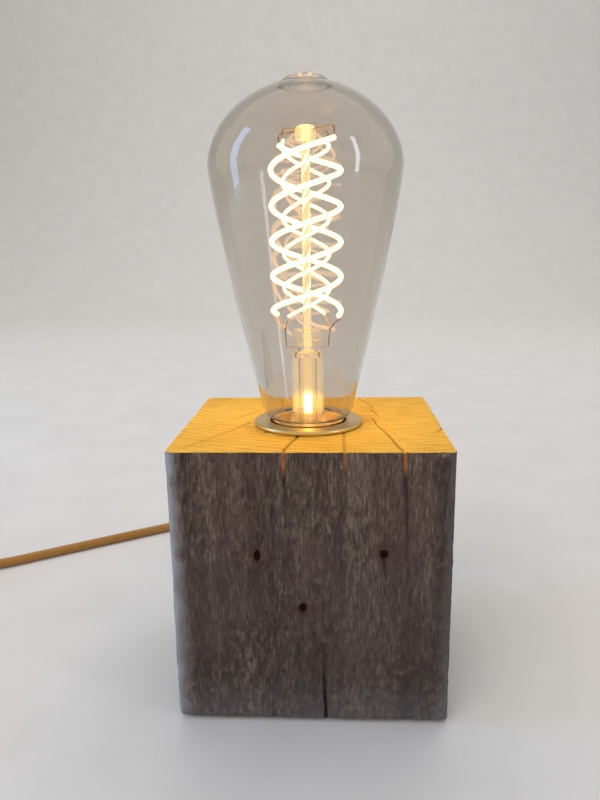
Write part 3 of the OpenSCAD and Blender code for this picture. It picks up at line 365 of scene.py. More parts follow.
# %% Knots and checks
GRAIN_STEP, HEIGHT_STEP = 0.42, 0.6
FULL_DARK, FAINTEST, SHALLOWEST, DEPTH_BY_WIDTH = 0.36, 0.16, 0.05, 2.2
KNOTS = [(-17.0, 59.6, 1.25), (23.0, 60.5, 1.15), (-2.5, 41.7, 1.2)]
CHECKS = {
    "front": [
        ([(-8.2, 94.6), (-8.1, 86.9), (-7.8, 80.5), (-7.6, 70.2), (-6.9, 60.3)], 0.3, 0.05),
        ([(-6.9, 60.0), (-6.7, 41.0)], 0.06, 0.03),
        ([(10.9, 94.6), (11.3, 88.8), (11.3, 78.0)], 0.18, 0.02),
        ([(29.1, 94.6), (29.3, 86.7), (30.1, 73.8), (30.2, 65.6)], 0.32, 0.1),
        ([(30.2, 65.0), (31.0, 47.9), (35.4, 35.0), (40.1, 17.7)], 0.07, 0.04),
        ([(4.8, 0.4), (4.1, 17.1), (4.2, 29.2)], 0.5, 0.06),
        ([(-12.9, 0.7), (-13.1, 7.0)], 0.25, 0.05),
        ([(23.2, 59.5), (23.7, 52.5)], 0.25, 0.05),
        ([(-2.5, 41.0), (-2.4, 36.5)], 0.15, 0.03)],
    "back": [
        ([(-15.0, 94.6), (-15.4, 70.0)], 0.3, 0.05),
        ([(17.5, 94.6), (16.9, 48.0)], 0.35, 0.05),
        ([(-24.0, 1.0), (-23.6, 33.0)], 0.45, 0.06)],
    "left": [([(14.0, 1.0), (14.3, 41.0)], 0.45, 0.06), ([(-9.0, 62.0), (-9.3, 38.0)], 0.12, 0.05)],
    "right": [([(-6.0, 94.6), (-6.3, 82.0)], 0.35, 0.05), ([(-22.0, 1.0), (-22.0, 24.0)], 0.35, 0.06)],
    "top": [
        ([(-4.0, -19.9), (-6.1, -27.8), (-7.8, -36.2), (-8.2, -41.0)], 0.16, 0.24),
        ([(11.0, -17.0), (11.0, -27.0), (10.9, -41.0)], 0.12, 0.16),
        ([(17.5, 41.0), (18.7, 36.1), (21.2, 29.5), (23.6, 19.9)], 0.16, 0.1),
        ([(22.0, 19.1), (23.5, 13.3), (24.6, 7.0)], 0.16, 0.08),
        ([(21.9, 4.1), (22.7, -4.5), (26.0, -20.0), (29.1, -41.0)], 0.16, 0.24),
        ([(24.0, -9.3), (28.8, -17.9)], 0.08, 0.04),
        ([(-20.4, 16.4), (-28.9, 2.7), (-36.8, -10.7)], 0.12, 0.05),
        ([(-22.2, -2.5), (-30.0, -17.8), (-37.1, -29.7), (-41.0, -36.0)], 0.13, 0.06),
        ([(-14.5, -13.9), (-16.7, -19.9)], 0.08, 0.04),
        ([(-12.6, 20.7), (-13.9, 29.9), (-15.0, 41.0)], 0.12, 0.08),
        ([(6.4, 26.7), (6.2, 35.4)], 0.12, 0.06),
        ([(45.6, -5.6), (44.6, -11.9)], 0.45, 0.2),
        ([(44.6, -12.5), (40.6, -17.1)], 0.16, 0.05)]}


def checked(x, y, face):
    """How dark with painted shade, and how deep, each point of a face lies in its checks, the first from 0 to
    1.
    """
    dark, deep = np.zeros_like(x), np.zeros_like(x)
    x = x + 0.16 * noise(x / 3, y / 5, 21)
    for points, first, last in CHECKS[face]:
        sizes = [math.dist(a, b) for a, b in zip(points, points[1:])]
        done = 0.0
        for (ax, ay), (bx, by), size in zip(points, points[1:], sizes):
            t = np.clip(((x - ax) * (bx - ax) + (y - ay) * (by - ay)) / size ** 2, 0, 1)
            away = np.hypot(x - ax - t * (bx - ax), y - ay - t * (by - ay))
            half = first + (last - first) * (done + t * size) / sum(sizes)
            inside = np.clip(1.5 - away / np.maximum(half, GRAIN_STEP), 0, 1)
            dark = np.maximum(dark, inside * np.clip(half / FULL_DARK, FAINTEST, 1))
            deep = np.maximum(deep, inside * (SHALLOWEST + DEPTH_BY_WIDTH * half))
            done += size
    return dark, deep


def knotted(u, z):
    """Knots on the front: how far the fibres bend, and 0.45 for their stain up to 1 inside."""
    bend, knot = np.zeros_like(u), np.zeros_like(u)
    for n, (kx, kz, r) in enumerate(KNOTS):
        size = np.hypot((u - kx) / r, (z - kz) / (1.25 * r)) + 0.3 * noise(u / 1.3, z / 1.3, 51 + n)
        near = np.exp(-((u - kx) / (2.6 * r)) ** 2 - ((z - kz) / (4.5 * r)) ** 2)
        bend += near * np.sign(u - kx) * 1.5 * np.exp(-np.abs(u - kx) / (2 * r))
        stain, core = np.exp(-(size / 1.9) ** 2), np.clip((1.25 - size) / 0.3, 0, 1)
        knot = np.maximum(knot, 0.45 * stain + 0.55 * core)
    return bend, knot


print("knots:", len(KNOTS), " checks:", sum(len(lines) for lines in CHECKS.values()))

# %% [markdown]
# The checks run towards the heart of the tree, which therefore lay behind the block. The growth
# rings are circles round that heart: on the top they are slanting arcs, on the left and right
# faces they are lines one ring apart, and on the front, which was cut along the rings, they
# spread into broad bands. A relief is a sum of such layers, each a depth in millimetres times
# noise with waves of so many millimetres; the tone is their darkness, 0.5 in the middle.

# %% Relief of the block's faces
HEART, RING_STEP, SAW_STEP = (20.0, 95.0), 3.3, 1.7
KNOT_DEPTH = 1.3


def growth(x, y, z):
    """Where a point lies in its growth ring, as an angle, with the rings' slow wander."""
    wander = 1.1 * noise(x / 26, y / 26, 31) + 0.9 * noise(x / 30, z / 60, 35)
    return 2 * np.pi * (np.hypot(x - HEART[0], y - HEART[1]) + wander) / RING_STEP


def side_relief(s, x, y, z, u, face):
    """Relief and tone of an upright face. s runs round the block, and u across the face."""
    bend, knot = knotted(u, z) if face == "front" else (np.zeros_like(s), np.zeros_like(s))
    g = s + bend + 0.8 * noise(s / 20, z / 40, 3)
    rings = np.cos(growth(x + bend, y, z))
    ridges = 1 - np.abs(rough(g / 0.9, z / 16, 11))
    fibres = noise(g / 0.55, z / 3, 12)
    # the saw tore the fibres up in patches, more of them towards the foot
    patch = np.clip(0.35 + 0.55 * noise(s / 12, z / 10, 14) + (55 - z) / 110, 0.08, 1)
    torn = rough(g / 1.1 + 0.8 * noise(z / 1.9, s / 4, 17), z / 1.9, 13) * patch
    checks, deep = checked(u, z, face)
    relief = (0.2 * rough(s / 16, z / 45, 15) + 0.14 * (ridges - 0.7) + 0.06 * fibres
              + 0.26 * torn + 0.04 * rings - 0.12)
    relief -= deep + KNOT_DEPTH * np.clip(2 * knot - 1, 0, 1)
    tone = 0.16 * fibres + 0.3 * rough(g / 3.4, z / 60, 16) + 0.55 * torn + 0.16 * rings
    return relief, 0.5 + 0.5 * tone, checks, knot


def top_relief(x, y):
    rings = np.cos(growth(x, y, 0 * x + TOP)) * (0.65 + 0.35 * noise(x / 14, y / 9, 36))
    saw = np.cos(2 * np.pi * (y + 0.22 * x + 0.5 * noise(x / 15, y / 15, 32)) / SAW_STEP)
    checks, deep = checked(x, y, "top")
    relief = 0.03 * rings + 0.025 * saw + 0.06 * rough(x / 1.2, y / 1.2, 33) - 0.09 - deep
    tone = 0.2 * rings + 0.12 * saw + 0.22 * rough(x / 5.0, y / 1.2, 34) + 0.2 * rough(x / 20, y / 14, 37)
    return relief, 0.5 + tone, checks


print("relief functions ready")

# %% [markdown]
# The grid of the top is wrapped over the edge and down the sides, so the edge is one row of
# points that both share, and the block's outline is as uneven as the real one. The corner
# squares are mapped to quarter discs, which gives the upright edges their worn roundness.

# %% The block's grid
EDGE = 1.8
GROOVE_LEFT, GROOVE_RIGHT, GROOVE_TOP = SOCKET[0] - 3.25, SOCKET[0] + 3.25, FELT + 6.5
HALF_W, HALF_D = BLOCK_W / 2, BLOCK_D / 2


def even(step, *stops):
    """Even steps from each stop to the next, with every stop among them."""
    runs = [np.linspace(a, b, max(2, round((b - a) / step) + 1)) for a, b in zip(stops, stops[1:])]
    return np.unique(np.concatenate(runs).round(6))


def rounded(x, y):
    """Maps the corner squares of the grid to quarter discs."""
    hx, hy = HALF_W - EDGE, HALF_D - EDGE
    u, v = np.clip((np.abs(x) - hx) / EDGE, 0, 1), np.clip((np.abs(y) - hy) / EDGE, 0, 1)
    corner = (u > 0) & (v > 0)
    round_x = np.sign(x) * (hx + EDGE * u * np.sqrt(1 - v * v / 2))
    round_y = np.sign(y) * (hy + EDGE * v * np.sqrt(1 - u * u / 2))
    return np.where(corner, round_x, x), np.where(corner, round_y, y)


xs = even(GRAIN_STEP, -HALF_W, GROOVE_LEFT, GROOVE_RIGHT, HALF_W)
ys = even(GRAIN_STEP, -HALF_D, HALF_D)
zs = even(HEIGHT_STEP, FELT, GROOVE_TOP, TOP)
nx, ny, nz = len(xs), len(ys), len(zs)
grid_x, grid_y = np.meshgrid(xs, ys, indexing="ij")
top_x, top_y = rounded(grid_x, grid_y)

# the loop round the top, anticlockwise from the front left corner, by grid index and face
loop = [(i, 0, "front") for i in range(nx - 1)] + [(nx - 1, j, "right") for j in range(ny - 1)]
loop += [(i, ny - 1, "back") for i in range(nx - 1, 0, -1)] + [(0, j, "left") for j in range(ny - 1, 0, -1)]
loop_x = np.array([top_x[i, j] for i, j, face in loop])
loop_y = np.array([top_y[i, j] for i, j, face in loop])
loop_face = np.array([face for i, j, face in loop])
loop_s = np.concatenate([[0], np.cumsum(np.hypot(np.diff(loop_x), np.diff(loop_y)))])
out_x = np.roll(loop_y, -1) - np.roll(loop_y, 1)
out_y = np.roll(loop_x, 1) - np.roll(loop_x, -1)
out_x, out_y = out_x / np.hypot(out_x, out_y), out_y / np.hypot(out_x, out_y)
print("points round the block:", len(loop), " up it:", nz)


# %% Move the block's points
def side_points():
    """Places, tones, checks, knots, and rubbed pale edges with a painted highlight on the front left one, at
    every height, one column to a point of the loop.
    """
    s, z = np.meshgrid(loop_s, zs)
    x, y = np.broadcast_to(loop_x, s.shape), np.broadcast_to(loop_y, s.shape)
    relief, tone, checks, knot = (np.zeros_like(s) for _ in range(4))
    for face in ("front", "right", "back", "left"):
        here = np.broadcast_to(loop_face == face, s.shape)
        across = x[here] if face in ("front", "back") else y[here]
        made = side_relief(s[here], x[here], y[here], z[here], across, face)
        relief[here], tone[here], checks[here], knot[here] = made
    # the foot is frayed, so its lower edge is ragged; the front left corner is a little worn
    foot = np.clip(1 - (z - FELT) / 1.3, 0, 1)
    corner = np.exp(-((x + HALF_W) ** 2 + (y + HALF_D) ** 2) / 30)
    relief -= foot * (0.12 + 0.3 * corner) + 0.25 * corner * (0.6 + 0.4 * noise(z / 7, z * 0, 42))
    z = z + foot * 0.6 * np.clip(rough(s / 1.7, s * 0, 41) - 0.1, 0, 1)
    # splinters off the front edge near its corners, and small nicks along the other edges
    near_corner = np.exp(-((x - 40) / 4) ** 2) + 0.8 * np.exp(-((x + 45) / 1.5) ** 2)
    chip = np.clip(rough(s / 1.2, z / 1.0, 43) + 0.75 * near_corner * (y < 1 - HALF_D) - 0.5, 0, 1)
    chip *= np.clip(1.2 - (TOP - z) / 1.8, 0, 1)
    relief -= 2.0 * chip
    # the front left edge is painted pale in a narrow band, a painted highlight of the cool light from the
    # left; the other edges and the foot are rubbed a little pale
    to_edge = np.hypot(np.abs(loop_x) - HALF_W, np.abs(loop_y) - HALF_D)
    to_left = np.hypot(loop_x + HALF_W, loop_y + HALF_D) / (2.6 + 0.9 * noise(z / 4, z * 0, 45))
    edge_wear_and_light = 0.2 * np.exp(-(to_edge / 2.5) ** 2) + 0.16 * np.clip(1 - (z - FELT) / 14, 0, 1)
    edge_wear_and_light += (0.85 + 0.4 * noise(z / 6, z * 0, 44)) * np.exp(-to_left ** 2)
    return (x + relief * out_x, y + relief * out_y, z, tone + 1.2 * chip, checks, knot,
            np.clip(edge_wear_and_light, 0, 1))


side_x, side_y, side_z, side_tone, side_check_shade, side_knot, side_wear_and_edge_light = side_points()
rise, top_tone, top_check_shade = top_relief(top_x, top_y)
top_z = TOP + rise
# the top's own edge points are the sides' highest points
for n, (i, j, face) in enumerate(loop):
    top_x[i, j], top_y[i, j] = side_x[-1, n], side_y[-1, n]
print("highest point of the end grain", round(float(top_z.max()), 2), "mm")

# %% Join the block's faces
HOLE_R, GROOVE_START, GROOVE_END, BORE_SIDES = 18.3, BLOCK_D / 2 - 0.35, 12.0, 96
BORE = [(18.9, TOP - 0.25), (17.3, TOP - 0.2), (17.3, 34.0), (6.0, 34.0), (6.0, FELT)]


def top_faces(on_top):
    """The faces of the end grain, without the ones over the bore."""
    hole = np.hypot(grid_x - SOCKET[0], grid_y - SOCKET[1]) < HOLE_R
    faces = []
    for i in range(nx - 1):
        for j in range(ny - 1):
            corners = ((i, j), (i + 1, j), (i + 1, j + 1), (i, j + 1))
            if not all(hole[c] for c in corners):
                faces.append(tuple(int(on_top[c]) for c in corners))
    return faces


def side_faces(rows):
    """The faces of the four sides, without the ones over the cord's groove."""
    faces = []
    for low, high, z in zip(rows, rows[1:], zs[1:]):
        for n in range(len(loop)):
            m = (n + 1) % len(loop)
            beside = GROOVE_LEFT < (loop_x[n] + loop_x[m]) / 2 < GROOVE_RIGHT and loop_face[n] == "back"
            if not (beside and z <= GROOVE_TOP + 0.01):
                faces.append((low[n], low[m], high[m], high[n]))
    return faces


def build_block():
    """The block, and for each of its faces 0 if it is end grain and 1 if not."""
    points = list(zip(top_x.ravel(), top_y.ravel(), top_z.ravel()))
    points += list(zip(side_x[:-1].ravel(), side_y[:-1].ravel(), side_z[:-1].ravel()))
    on_top = np.arange(nx * ny).reshape(nx, ny)
    rows = [[nx * ny + level * len(loop) + n for n in range(len(loop))] for level in range(nz - 1)]
    rows.append([int(on_top[i, j]) for i, j, face in loop])
    faces = top_faces(on_top)
    end_grain = len(faces)
    faces += side_faces(rows) + [tuple(rows[0][::-1])]
    # the groove's walls and roof, and the bore with a lip under the metal ring
    first = len(points)
    for y in (GROOVE_START, GROOVE_END):
        points += [(GROOVE_LEFT, y, FELT), (GROOVE_LEFT, y, GROOVE_TOP),
                   (GROOVE_RIGHT, y, GROOVE_TOP), (GROOVE_RIGHT, y, FELT)]
    faces += [(first + k, first + k + 1, first + k + 5, first + k + 4) for k in range(3)]
    faces.append(tuple(first + k for k in (4, 5, 6, 7)))
    faces += band(len(BORE), BORE_SIDES, first=len(points))
    for r, z in BORE:
        points += [(SOCKET[0] + r * c, SOCKET[1] + r * s, z) for c, s in around(BORE_SIDES)]
    block = add_piece("timber", [metres(p) for p in points], faces, "base", sharp=75)
    none = 0 * top_tone
    for name, on_end, on_sides, within in (
            ("tone", top_tone, side_tone, 0.4), ("check", top_check_shade, side_check_shade, 0.0),
            ("knot", none, side_knot, 0.0), ("edge_wear_and_light", none, side_wear_and_edge_light, 0.0)):
        rest = np.full(len(points) - first, within)
        values = np.concatenate([on_end.ravel(), on_sides[:-1].ravel(), rest])
        kept = block.data.attributes.new(name, "FLOAT", "POINT")
        kept.data.foreach_set("value", values.astype(np.float32))
    slots = np.ones(len(faces), dtype=np.int32)
    slots[:end_grain] = 0
    return block, slots


block, block_slots = build_block()
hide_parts("timber_block")
print("faces on the block:", len(block.data.polygons))

# %% [markdown]
# ## Materials made of nodes
# One function adds a node, sets it and links it, and gives back one of its outputs, so that each
# step of a finish is one line. Every finish starts from what the real piece is made of. Colours
# are sRGB hex values, and patterns are scaled from millimetres.

# %% Helpers for materials
def add_node(tree, kind, links=(), out=0, stops=(), **settings):
    """Adds a node and gives back one of its outputs, by number or name.

    links fills its inputs, in order or by name, from values, hex colours or other outputs.
    """
    made = tree.nodes.new("ShaderNode" + kind)
    for name, value in settings.items():
        setattr(made, name, value)
    for key, value in links.items() if isinstance(links, dict) else enumerate(links):
        if isinstance(value, bpy.types.NodeSocket):
            tree.links.new(value, made.inputs[key])
        else:
            made.inputs[key].default_value = linear(value) if isinstance(value, str) else value
    for n, (place, colour) in enumerate(stops):
        ramp = made.color_ramp.elements
        stop = ramp[n] if n < len(ramp) else ramp.new(place)
        stop.position, stop.color = place, linear(colour)
    return made.outputs[out]


def new_material(name, colour="#ffffff", **surface):
    """A material with its uniform values on the shader's own sockets, and a place in millimetres."""
    made = bpy.data.materials.new(name)
    made.use_nodes = True
    tree = made.node_tree
    shader = tree.nodes["Principled BSDF"]
    shader.inputs["Base Color"].default_value = linear(colour)
    for socket, value in surface.items():
        shader.inputs[socket.replace("_", " ")].default_value = value
    place = add_node(tree, "TexCoord", out="Object")
    mm = add_node(tree, "VectorMath", [place, (1 / MM, 1 / MM, 1 / MM)], operation="MULTIPLY")
    return made, tree, shader, mm


def from_axis(tree, mm):
    """How many millimetres a point lies from the lamp's axis."""
    moved = add_node(tree, "VectorMath", [mm, (-SOCKET[0], -SOCKET[1], 0)], operation="ADD")
    flat = add_node(tree, "VectorMath", [moved, (1, 1, 0)], operation="MULTIPLY")
    return add_node(tree, "VectorMath", [flat], out="Value", operation="LENGTH")


def set_surface(tree, shader, colour, height, depth, strength):
    """Gives the shader its colour and, from a height, a relief of a depth in millimetres."""
    relief = add_node(tree, "Bump", {"Height": height, "Distance": depth * MM, "Strength": strength})
    tree.links.new(colour, shader.inputs["Base Color"])
    tree.links.new(relief, shader.inputs["Normal"])


def mottled(name, dark, light, size, roughness, bump=0.02, rough_by=0.08, **surface):
    """A finish whose colour, gloss and surface vary a little, over patches of a size."""
    made, tree, shader, mm = new_material(name, light, Roughness=roughness, **surface)
    spots = add_node(tree, "TexNoise", {"Vector": mm, "Scale": 1 / size, "Detail": 4.0})
    colour = add_node(tree, "ValToRGB", [spots], stops=[(0.3, dark), (0.7, light)])
    gloss = add_node(tree, "MapRange", [spots, 0.3, 0.7, roughness - rough_by, roughness + rough_by])
    tree.links.new(gloss, shader.inputs["Roughness"])
    set_surface(tree, shader, colour, spots, bump, 1.0)
    return made


def dress(material, *pieces):
    """Gives the pieces their finish, in place of any that they came with."""
    for piece in pieces:
        piece.data.materials.clear()
        piece.data.materials.append(material)


print("material helpers ready")

# %% [markdown]
# ## Weathered timber
# Old softwood, sawn and left outside: lignin has washed out of the surface, so it is grey-brown
# with paler fibres standing up and darker wood between. Knots hold dirt, and the checks are
# painted dark inside as painted shade in the cracks. The arrises are rubbed pale; the front left
# one is also painted pale, a painted highlight of the cool light from the left. The tone made
# with the relief gives the fibres, and finer noise adds the streaks between the grid's points.

# %% Weathered side faces
# waves to a millimetre along x, y and z, then detail, distortion and share of the tone
STRAIGHT_FIBRES = ((2.1, 2.1, 0.24), 4.0, 0.5, 0.42)
CURLED_FIBRES = ((1.25, 1.25, 0.55), 6.0, 2.4, 0.33)


def weathered_timber():
    made, tree, shader, mm = new_material("weathered_softwood", Roughness=0.86, Specular_IOR_Level=0.25)
    tone, edge_wear_and_light, knot, check = (add_node(tree, "Attribute", out="Fac", attribute_name=name)
                               for name in ("tone", "edge_wear_and_light", "knot", "check"))
    height = add_node(tree, "SeparateXYZ", [mm], out="Z")
    # fine straight fibres, and over them the short curled ones that the saw tore up
    fibres = add_node(tree, "Math", [tone, 0.5], operation="MULTIPLY")
    for scale, detail, distortion, share in (STRAIGHT_FIBRES, CURLED_FIBRES):
        along = add_node(tree, "VectorMath", [mm, scale], operation="MULTIPLY")
        streaks = add_node(tree, "TexNoise", {"Vector": along, "Scale": 1.0, "Detail": detail,
                                              "Roughness": 0.65, "Distortion": distortion})
        fibres = add_node(tree, "Math", [streaks, share, fibres], operation="MULTIPLY_ADD")
    colour = add_node(tree, "ValToRGB", [fibres], stops=[(0.44, "#241a16"), (0.55, "#3d302a"),
                                                         (0.65, "#594a41"), (0.78, "#897b70")])
    # broad patches where the old brown shows through the grey
    slow = add_node(tree, "VectorMath", [mm, (0.05, 0.05, 0.03)], operation="MULTIPLY")
    patches = add_node(tree, "TexNoise", {"Vector": slow, "Scale": 1.0, "Detail": 3.0})
    brown = add_node(tree, "MapRange", [patches, 0.4, 0.65, 0.0, 0.35])
    # the colour turns darker and greyer from 80 mm down to the foot
    darker_low = add_node(tree, "MapRange", [height, 80.0, 20.0, 0.0, 0.45])
    # rubbed pale wear on the edges, and on the front left edge a painted highlight of the cool light from the
    # left, in a cool pale grey
    rubbed_and_lit = add_node(tree, "Math", [edge_wear_and_light, 0.8], operation="MULTIPLY")
    # a knot's stain is reddish brown, and its middle is as dark as a check
    stain = add_node(tree, "MapRange", [knot, 0.0, 0.45, 0.0, 0.75])
    core = add_node(tree, "MapRange", [knot, 0.5, 0.85])
    # the checks are painted nearly black inside: painted shade in the cracks
    dark = add_node(tree, "Math", [core, check], operation="MAXIMUM")
    # the upper ends of the checks are painted orange: painted light of the lamp shining down into them
    lamp_lit_check_tops = add_node(tree, "MapRange", [height, TOP - 8.5, TOP - 4.5])
    inside = add_node(tree, "Mix", {0: lamp_lit_check_tops, 6: "#170d08", 7: "#c9782c"}, out=2, data_type="RGBA")
    for amount, over in ((brown, "#55403a"), (darker_low, "#3a3437"), (rubbed_and_lit, "#9fa3a8"),
                         (stain, "#47291b"), (dark, inside)):
        colour = add_node(tree, "Mix", {0: amount, 6: colour, 7: over}, out=2, data_type="RGBA")
    set_surface(tree, shader, colour, fibres, 0.4, 0.9)
    return made


weathered = weathered_timber()
print("made", weathered.name)

# %% [markdown]
# The top is a fresh cut, honey-coloured, with the darker late wood of each growth ring, faint
# marks of the saw across them and thin checks, painted dark brown inside as painted shade in the cracks.

# %% Fresh end grain
def end_grain_timber():
    made, tree, shader, mm = new_material("sawn_end_grain", Roughness=0.7, Specular_IOR_Level=0.3)
    tone, check = (add_node(tree, "Attribute", out="Fac", attribute_name=name) for name in ("tone", "check"))
    fine = add_node(tree, "VectorMath", [mm, (1.4, 2.4, 1.0)], operation="MULTIPLY")
    pores = add_node(tree, "TexNoise", {"Vector": fine, "Scale": 1.0, "Detail": 5.0})
    grain = add_node(tree, "Math", [tone, pores], operation="ADD")
    grain = add_node(tree, "Math", [grain, 0.5], operation="MULTIPLY")
    honey = [(0.22, "#a97e26"), (0.45, "#cda238"), (0.72, "#e4c052")]
    colour = add_node(tree, "ValToRGB", [grain], stops=honey)
    # the checks on the top are painted dark brown inside: painted shade in the cracks
    split = add_node(tree, "Mix", {0: check, 6: colour, 7: "#5a370e"}, out=2, data_type="RGBA")
    set_surface(tree, shader, split, pores, 0.12, 0.7)
    return made


end_grain = end_grain_timber()
block.data.materials.append(end_grain)
block.data.materials.append(weathered)
block.data.polygons.foreach_set("material_index", block_slots)
print("made", end_grain.name)

# %% [markdown]
# ## Glass of the lamp
# The envelope is blown soda-lime glass, IOR 1.52, about 0.7 mm thick, with a thick sealed tip on
# top whose underside is rippled. It is a closed wall with an inside and an outside, because a
# single skin would bend light as if the lamp were solid glass. Light from inside has to get out,
# so for shadow rays the glass is nearly clear.

# %% Shape of the glass
WIDE_R, WIDE_H, DOME_H, NECK_R, WALL = 32.25, 86.6, 27.1, 16.3, 0.7
RIM_R, RIM_H, THROAT_R, THROAT_H, CURL = 11.5, -4.0, 12.0, 2.2, 6.0
FLANK_POWER, DOME_POWER = 1.17, 1.92
NUB_R, NUB_H, NUB_SUNK = 8.2, 2.4, 1.5
RIPPLE, RIPPLE_STEP = 0.16, 1.9


def glass_line(inset):
    """The outline from the rim in the cap up to near the tip, drawn in by the inset."""
    low_h = THROAT_H + CURL
    line = [(RIM_R - inset, RIM_H), (RIM_R - inset, THROAT_H - 1.0)]
    line += [(THROAT_R + (NECK_R - THROAT_R - inset) * math.sin(a), low_h - (CURL - inset) * math.cos(a))
             for a in arc(0, 90, 6)]
    for u in (i / 30 for i in range(1, 31)):
        bulge = (WIDE_R - NECK_R) * (1 - (1 - u) ** FLANK_POWER)
        line.append((NECK_R + bulge - inset, low_h + (WIDE_H - low_h) * u))
    line += [((WIDE_R - inset) * math.cos(a) ** (2 / DOME_POWER),
              WIDE_H + (DOME_H - inset) * math.sin(a) ** (2 / DOME_POWER)) for a in arc(2, 84, 2)]
    return line


def glass_profile():
    outer = [p for p in glass_line(0) if p[0] > NUB_R + 0.3 or p[1] < WIDE_H]
    inner = [p for p in glass_line(WALL) if p[0] > NUB_R or p[1] < WIDE_H]
    seat = WIDE_H + DOME_H - NUB_SUNK
    # the tip is where the glass was sealed off: a low drop that runs into the dome
    nub = [(NUB_R * math.cos(a) ** 1.15, seat + (NUB_H + NUB_SUNK) * math.sin(a) ** 1.1)
           for a in arc(9, 87, 6)]
    under = [(r, seat + 0.1 - 0.008 * r * r + RIPPLE * math.cos(2 * math.pi * r / RIPPLE_STEP))
             for r in np.linspace(7.6, 0.4, 28)]
    return outer + nub + [(0, seat + NUB_H + NUB_SUNK), (0, seat + 0.25)] + under[::-1] + inner[::-1]


glass = turned("lamp_glass", glass_profile(), "lamp", sides=160, sharp=60)
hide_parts("glass_envelope")
print("glass is", round(glass.dimensions.z / MM, 1), "mm high")


# %% Glass material
# the stem's foot gets a painted glow: its height over the block, the distances over which it fades in, its
# radii from the axis and its strength
FOOT_H, FOOT_FAR, FOOT_NEAR, FOOT_EDGE, FOOT_MIDDLE, FOOT_GLOW_STRENGTH = 7.3, 4.6, 2.0, 5.1, 2.8, 2.2


def clear_glass(name, tint, clear, painted_glow=0.0, painted_foot_glow=False):
    """Blown glass. Shadow rays pass it with a little loss, so the filaments light the timber.

    carried is a painted glow of the glass itself, which stands in for the filaments' light running along the
    glass and leaving it by its fine scratches and bubbles.
    With painted_foot_glow it is painted brightest at the stem's foot, where its wall was pressed.
    """
    made, tree, shader, mm = new_material(name, tint, Roughness=0.0, IOR=1.52, Transmission_Weight=1.0)
    # blown glass is never quite even: slow waves, some hundredths of a millimetre deep
    slow = add_node(tree, "VectorMath", [mm, (0.07, 0.07, 0.03)], operation="MULTIPLY")
    waves = add_node(tree, "TexNoise", {"Vector": slow, "Scale": 1.0, "Detail": 1.0})
    relief = add_node(tree, "Bump", {"Height": waves, "Distance": 0.15 * MM, "Strength": 0.4})
    tree.links.new(relief, shader.inputs["Normal"])
    # the glow that the glass sends out is painted light, warm like the filaments
    shader.inputs["Emission Color"].default_value = linear("#ffd88c")
    shader.inputs["Emission Strength"].default_value = painted_glow
    if painted_foot_glow:
        height = add_node(tree, "SeparateXYZ", [mm], out="Z")
        away = add_node(tree, "Math", [height, TOP + FOOT_H], operation="SUBTRACT")
        away = add_node(tree, "Math", [away], operation="ABSOLUTE")
        level = add_node(tree, "MapRange", [away, FOOT_FAR, FOOT_NEAR], interpolation_type="SMOOTHSTEP")
        middle = [from_axis(tree, mm), FOOT_EDGE, FOOT_MIDDLE, 0.0, FOOT_GLOW_STRENGTH]
        strength = [level, add_node(tree, "MapRange", middle), painted_glow]
        strong = add_node(tree, "Math", strength, operation="MULTIPLY_ADD")
        tree.links.new(strong, shader.inputs["Emission Strength"])
    shadow = add_node(tree, "LightPath", out="Is Shadow Ray")
    through = add_node(tree, "BsdfTransparent", [clear])
    both = add_node(tree, "MixShader", [shadow, shader.outputs["BSDF"], through])
    tree.links.new(both, tree.nodes["Material Output"].inputs["Surface"])
    return made


lamp_glass = clear_glass("soda_lime_glass", "#ebe6df", "#f2ede4")
# the stem and the rod are given a painted glow: painted light of the filaments, brightest at the stem's foot
stem_glass = clear_glass("lead_glass", "#f6f1e6", "#f4efe2", painted_glow=0.1, painted_foot_glow=True)
rod_glass = clear_glass("lead_glass_rod", "#f6f1e6", "#f4efe2", painted_glow=0.3)
dress(lamp_glass, glass)
print("three kinds of glass")

# %% [markdown]
# ## Stem, ring and cap
# The stem is a glass tube that flares out to the neck's rim. A thick glass disc just above it
# keeps the rod and the wires apart, and a taller bead on top of the rod holds the wires of the
# spirals' upper ends. The ring round the neck is turned, plated and brushed. The cap is rolled
# brass with the standard round thread of 3.629 mm a turn.

# %% Stem and ring
def flare(width, height):
    """The stem's flare, from the neck's rim in to the tube."""
    return [(10.6 - width * math.sin(a), 7 - height * math.cos(a)) for a in arc(0, 90, 6)]


stem_line = [(11.4, -4.8), (11.4, -4.0)] + flare(5.1, 11)
stem_line += [(5.5, 20), (5.4, 24), (5.25, 25.2), (5.0, 25.7), (4.6, 26), (0, 26), (0, 24), (4.7, 24)]
stem = turned("glass_stem", stem_line + flare(5.9, 11.8)[::-1], "lamp", sides=96, sharp=50)
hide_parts("stem_tube")
dress(stem_glass, stem)

DISC_LINE = [(1.42, 28.2), (3.9, 28.2), (4.6, 28.35), (5.05, 28.8), (5.2, 29.5), (5.2, 32.4),
             (5.05, 33.1), (4.6, 33.55), (3.9, 33.7), (1.42, 33.7)]
BUTTON_LINE = [(1.42, 95.5), (2.5, 95.5), (3.1, 95.8), (3.4, 96.5), (3.4, 98.6), (3.1, 99.5),
               (2.4, 100.0), (1.2, 100.1), (0, 100.1), (0, 99.3), (1.42, 99.3)]
for name, node, line, kind in (("glass_disc", "lower_bead", DISC_LINE, stem_glass),
                               ("glass_button", "top_bead", BUTTON_LINE, rod_glass)):
    bead = turned(name, line, "lamp", sides=64, sharp=50)
    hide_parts(node)
    dress(kind, bead)

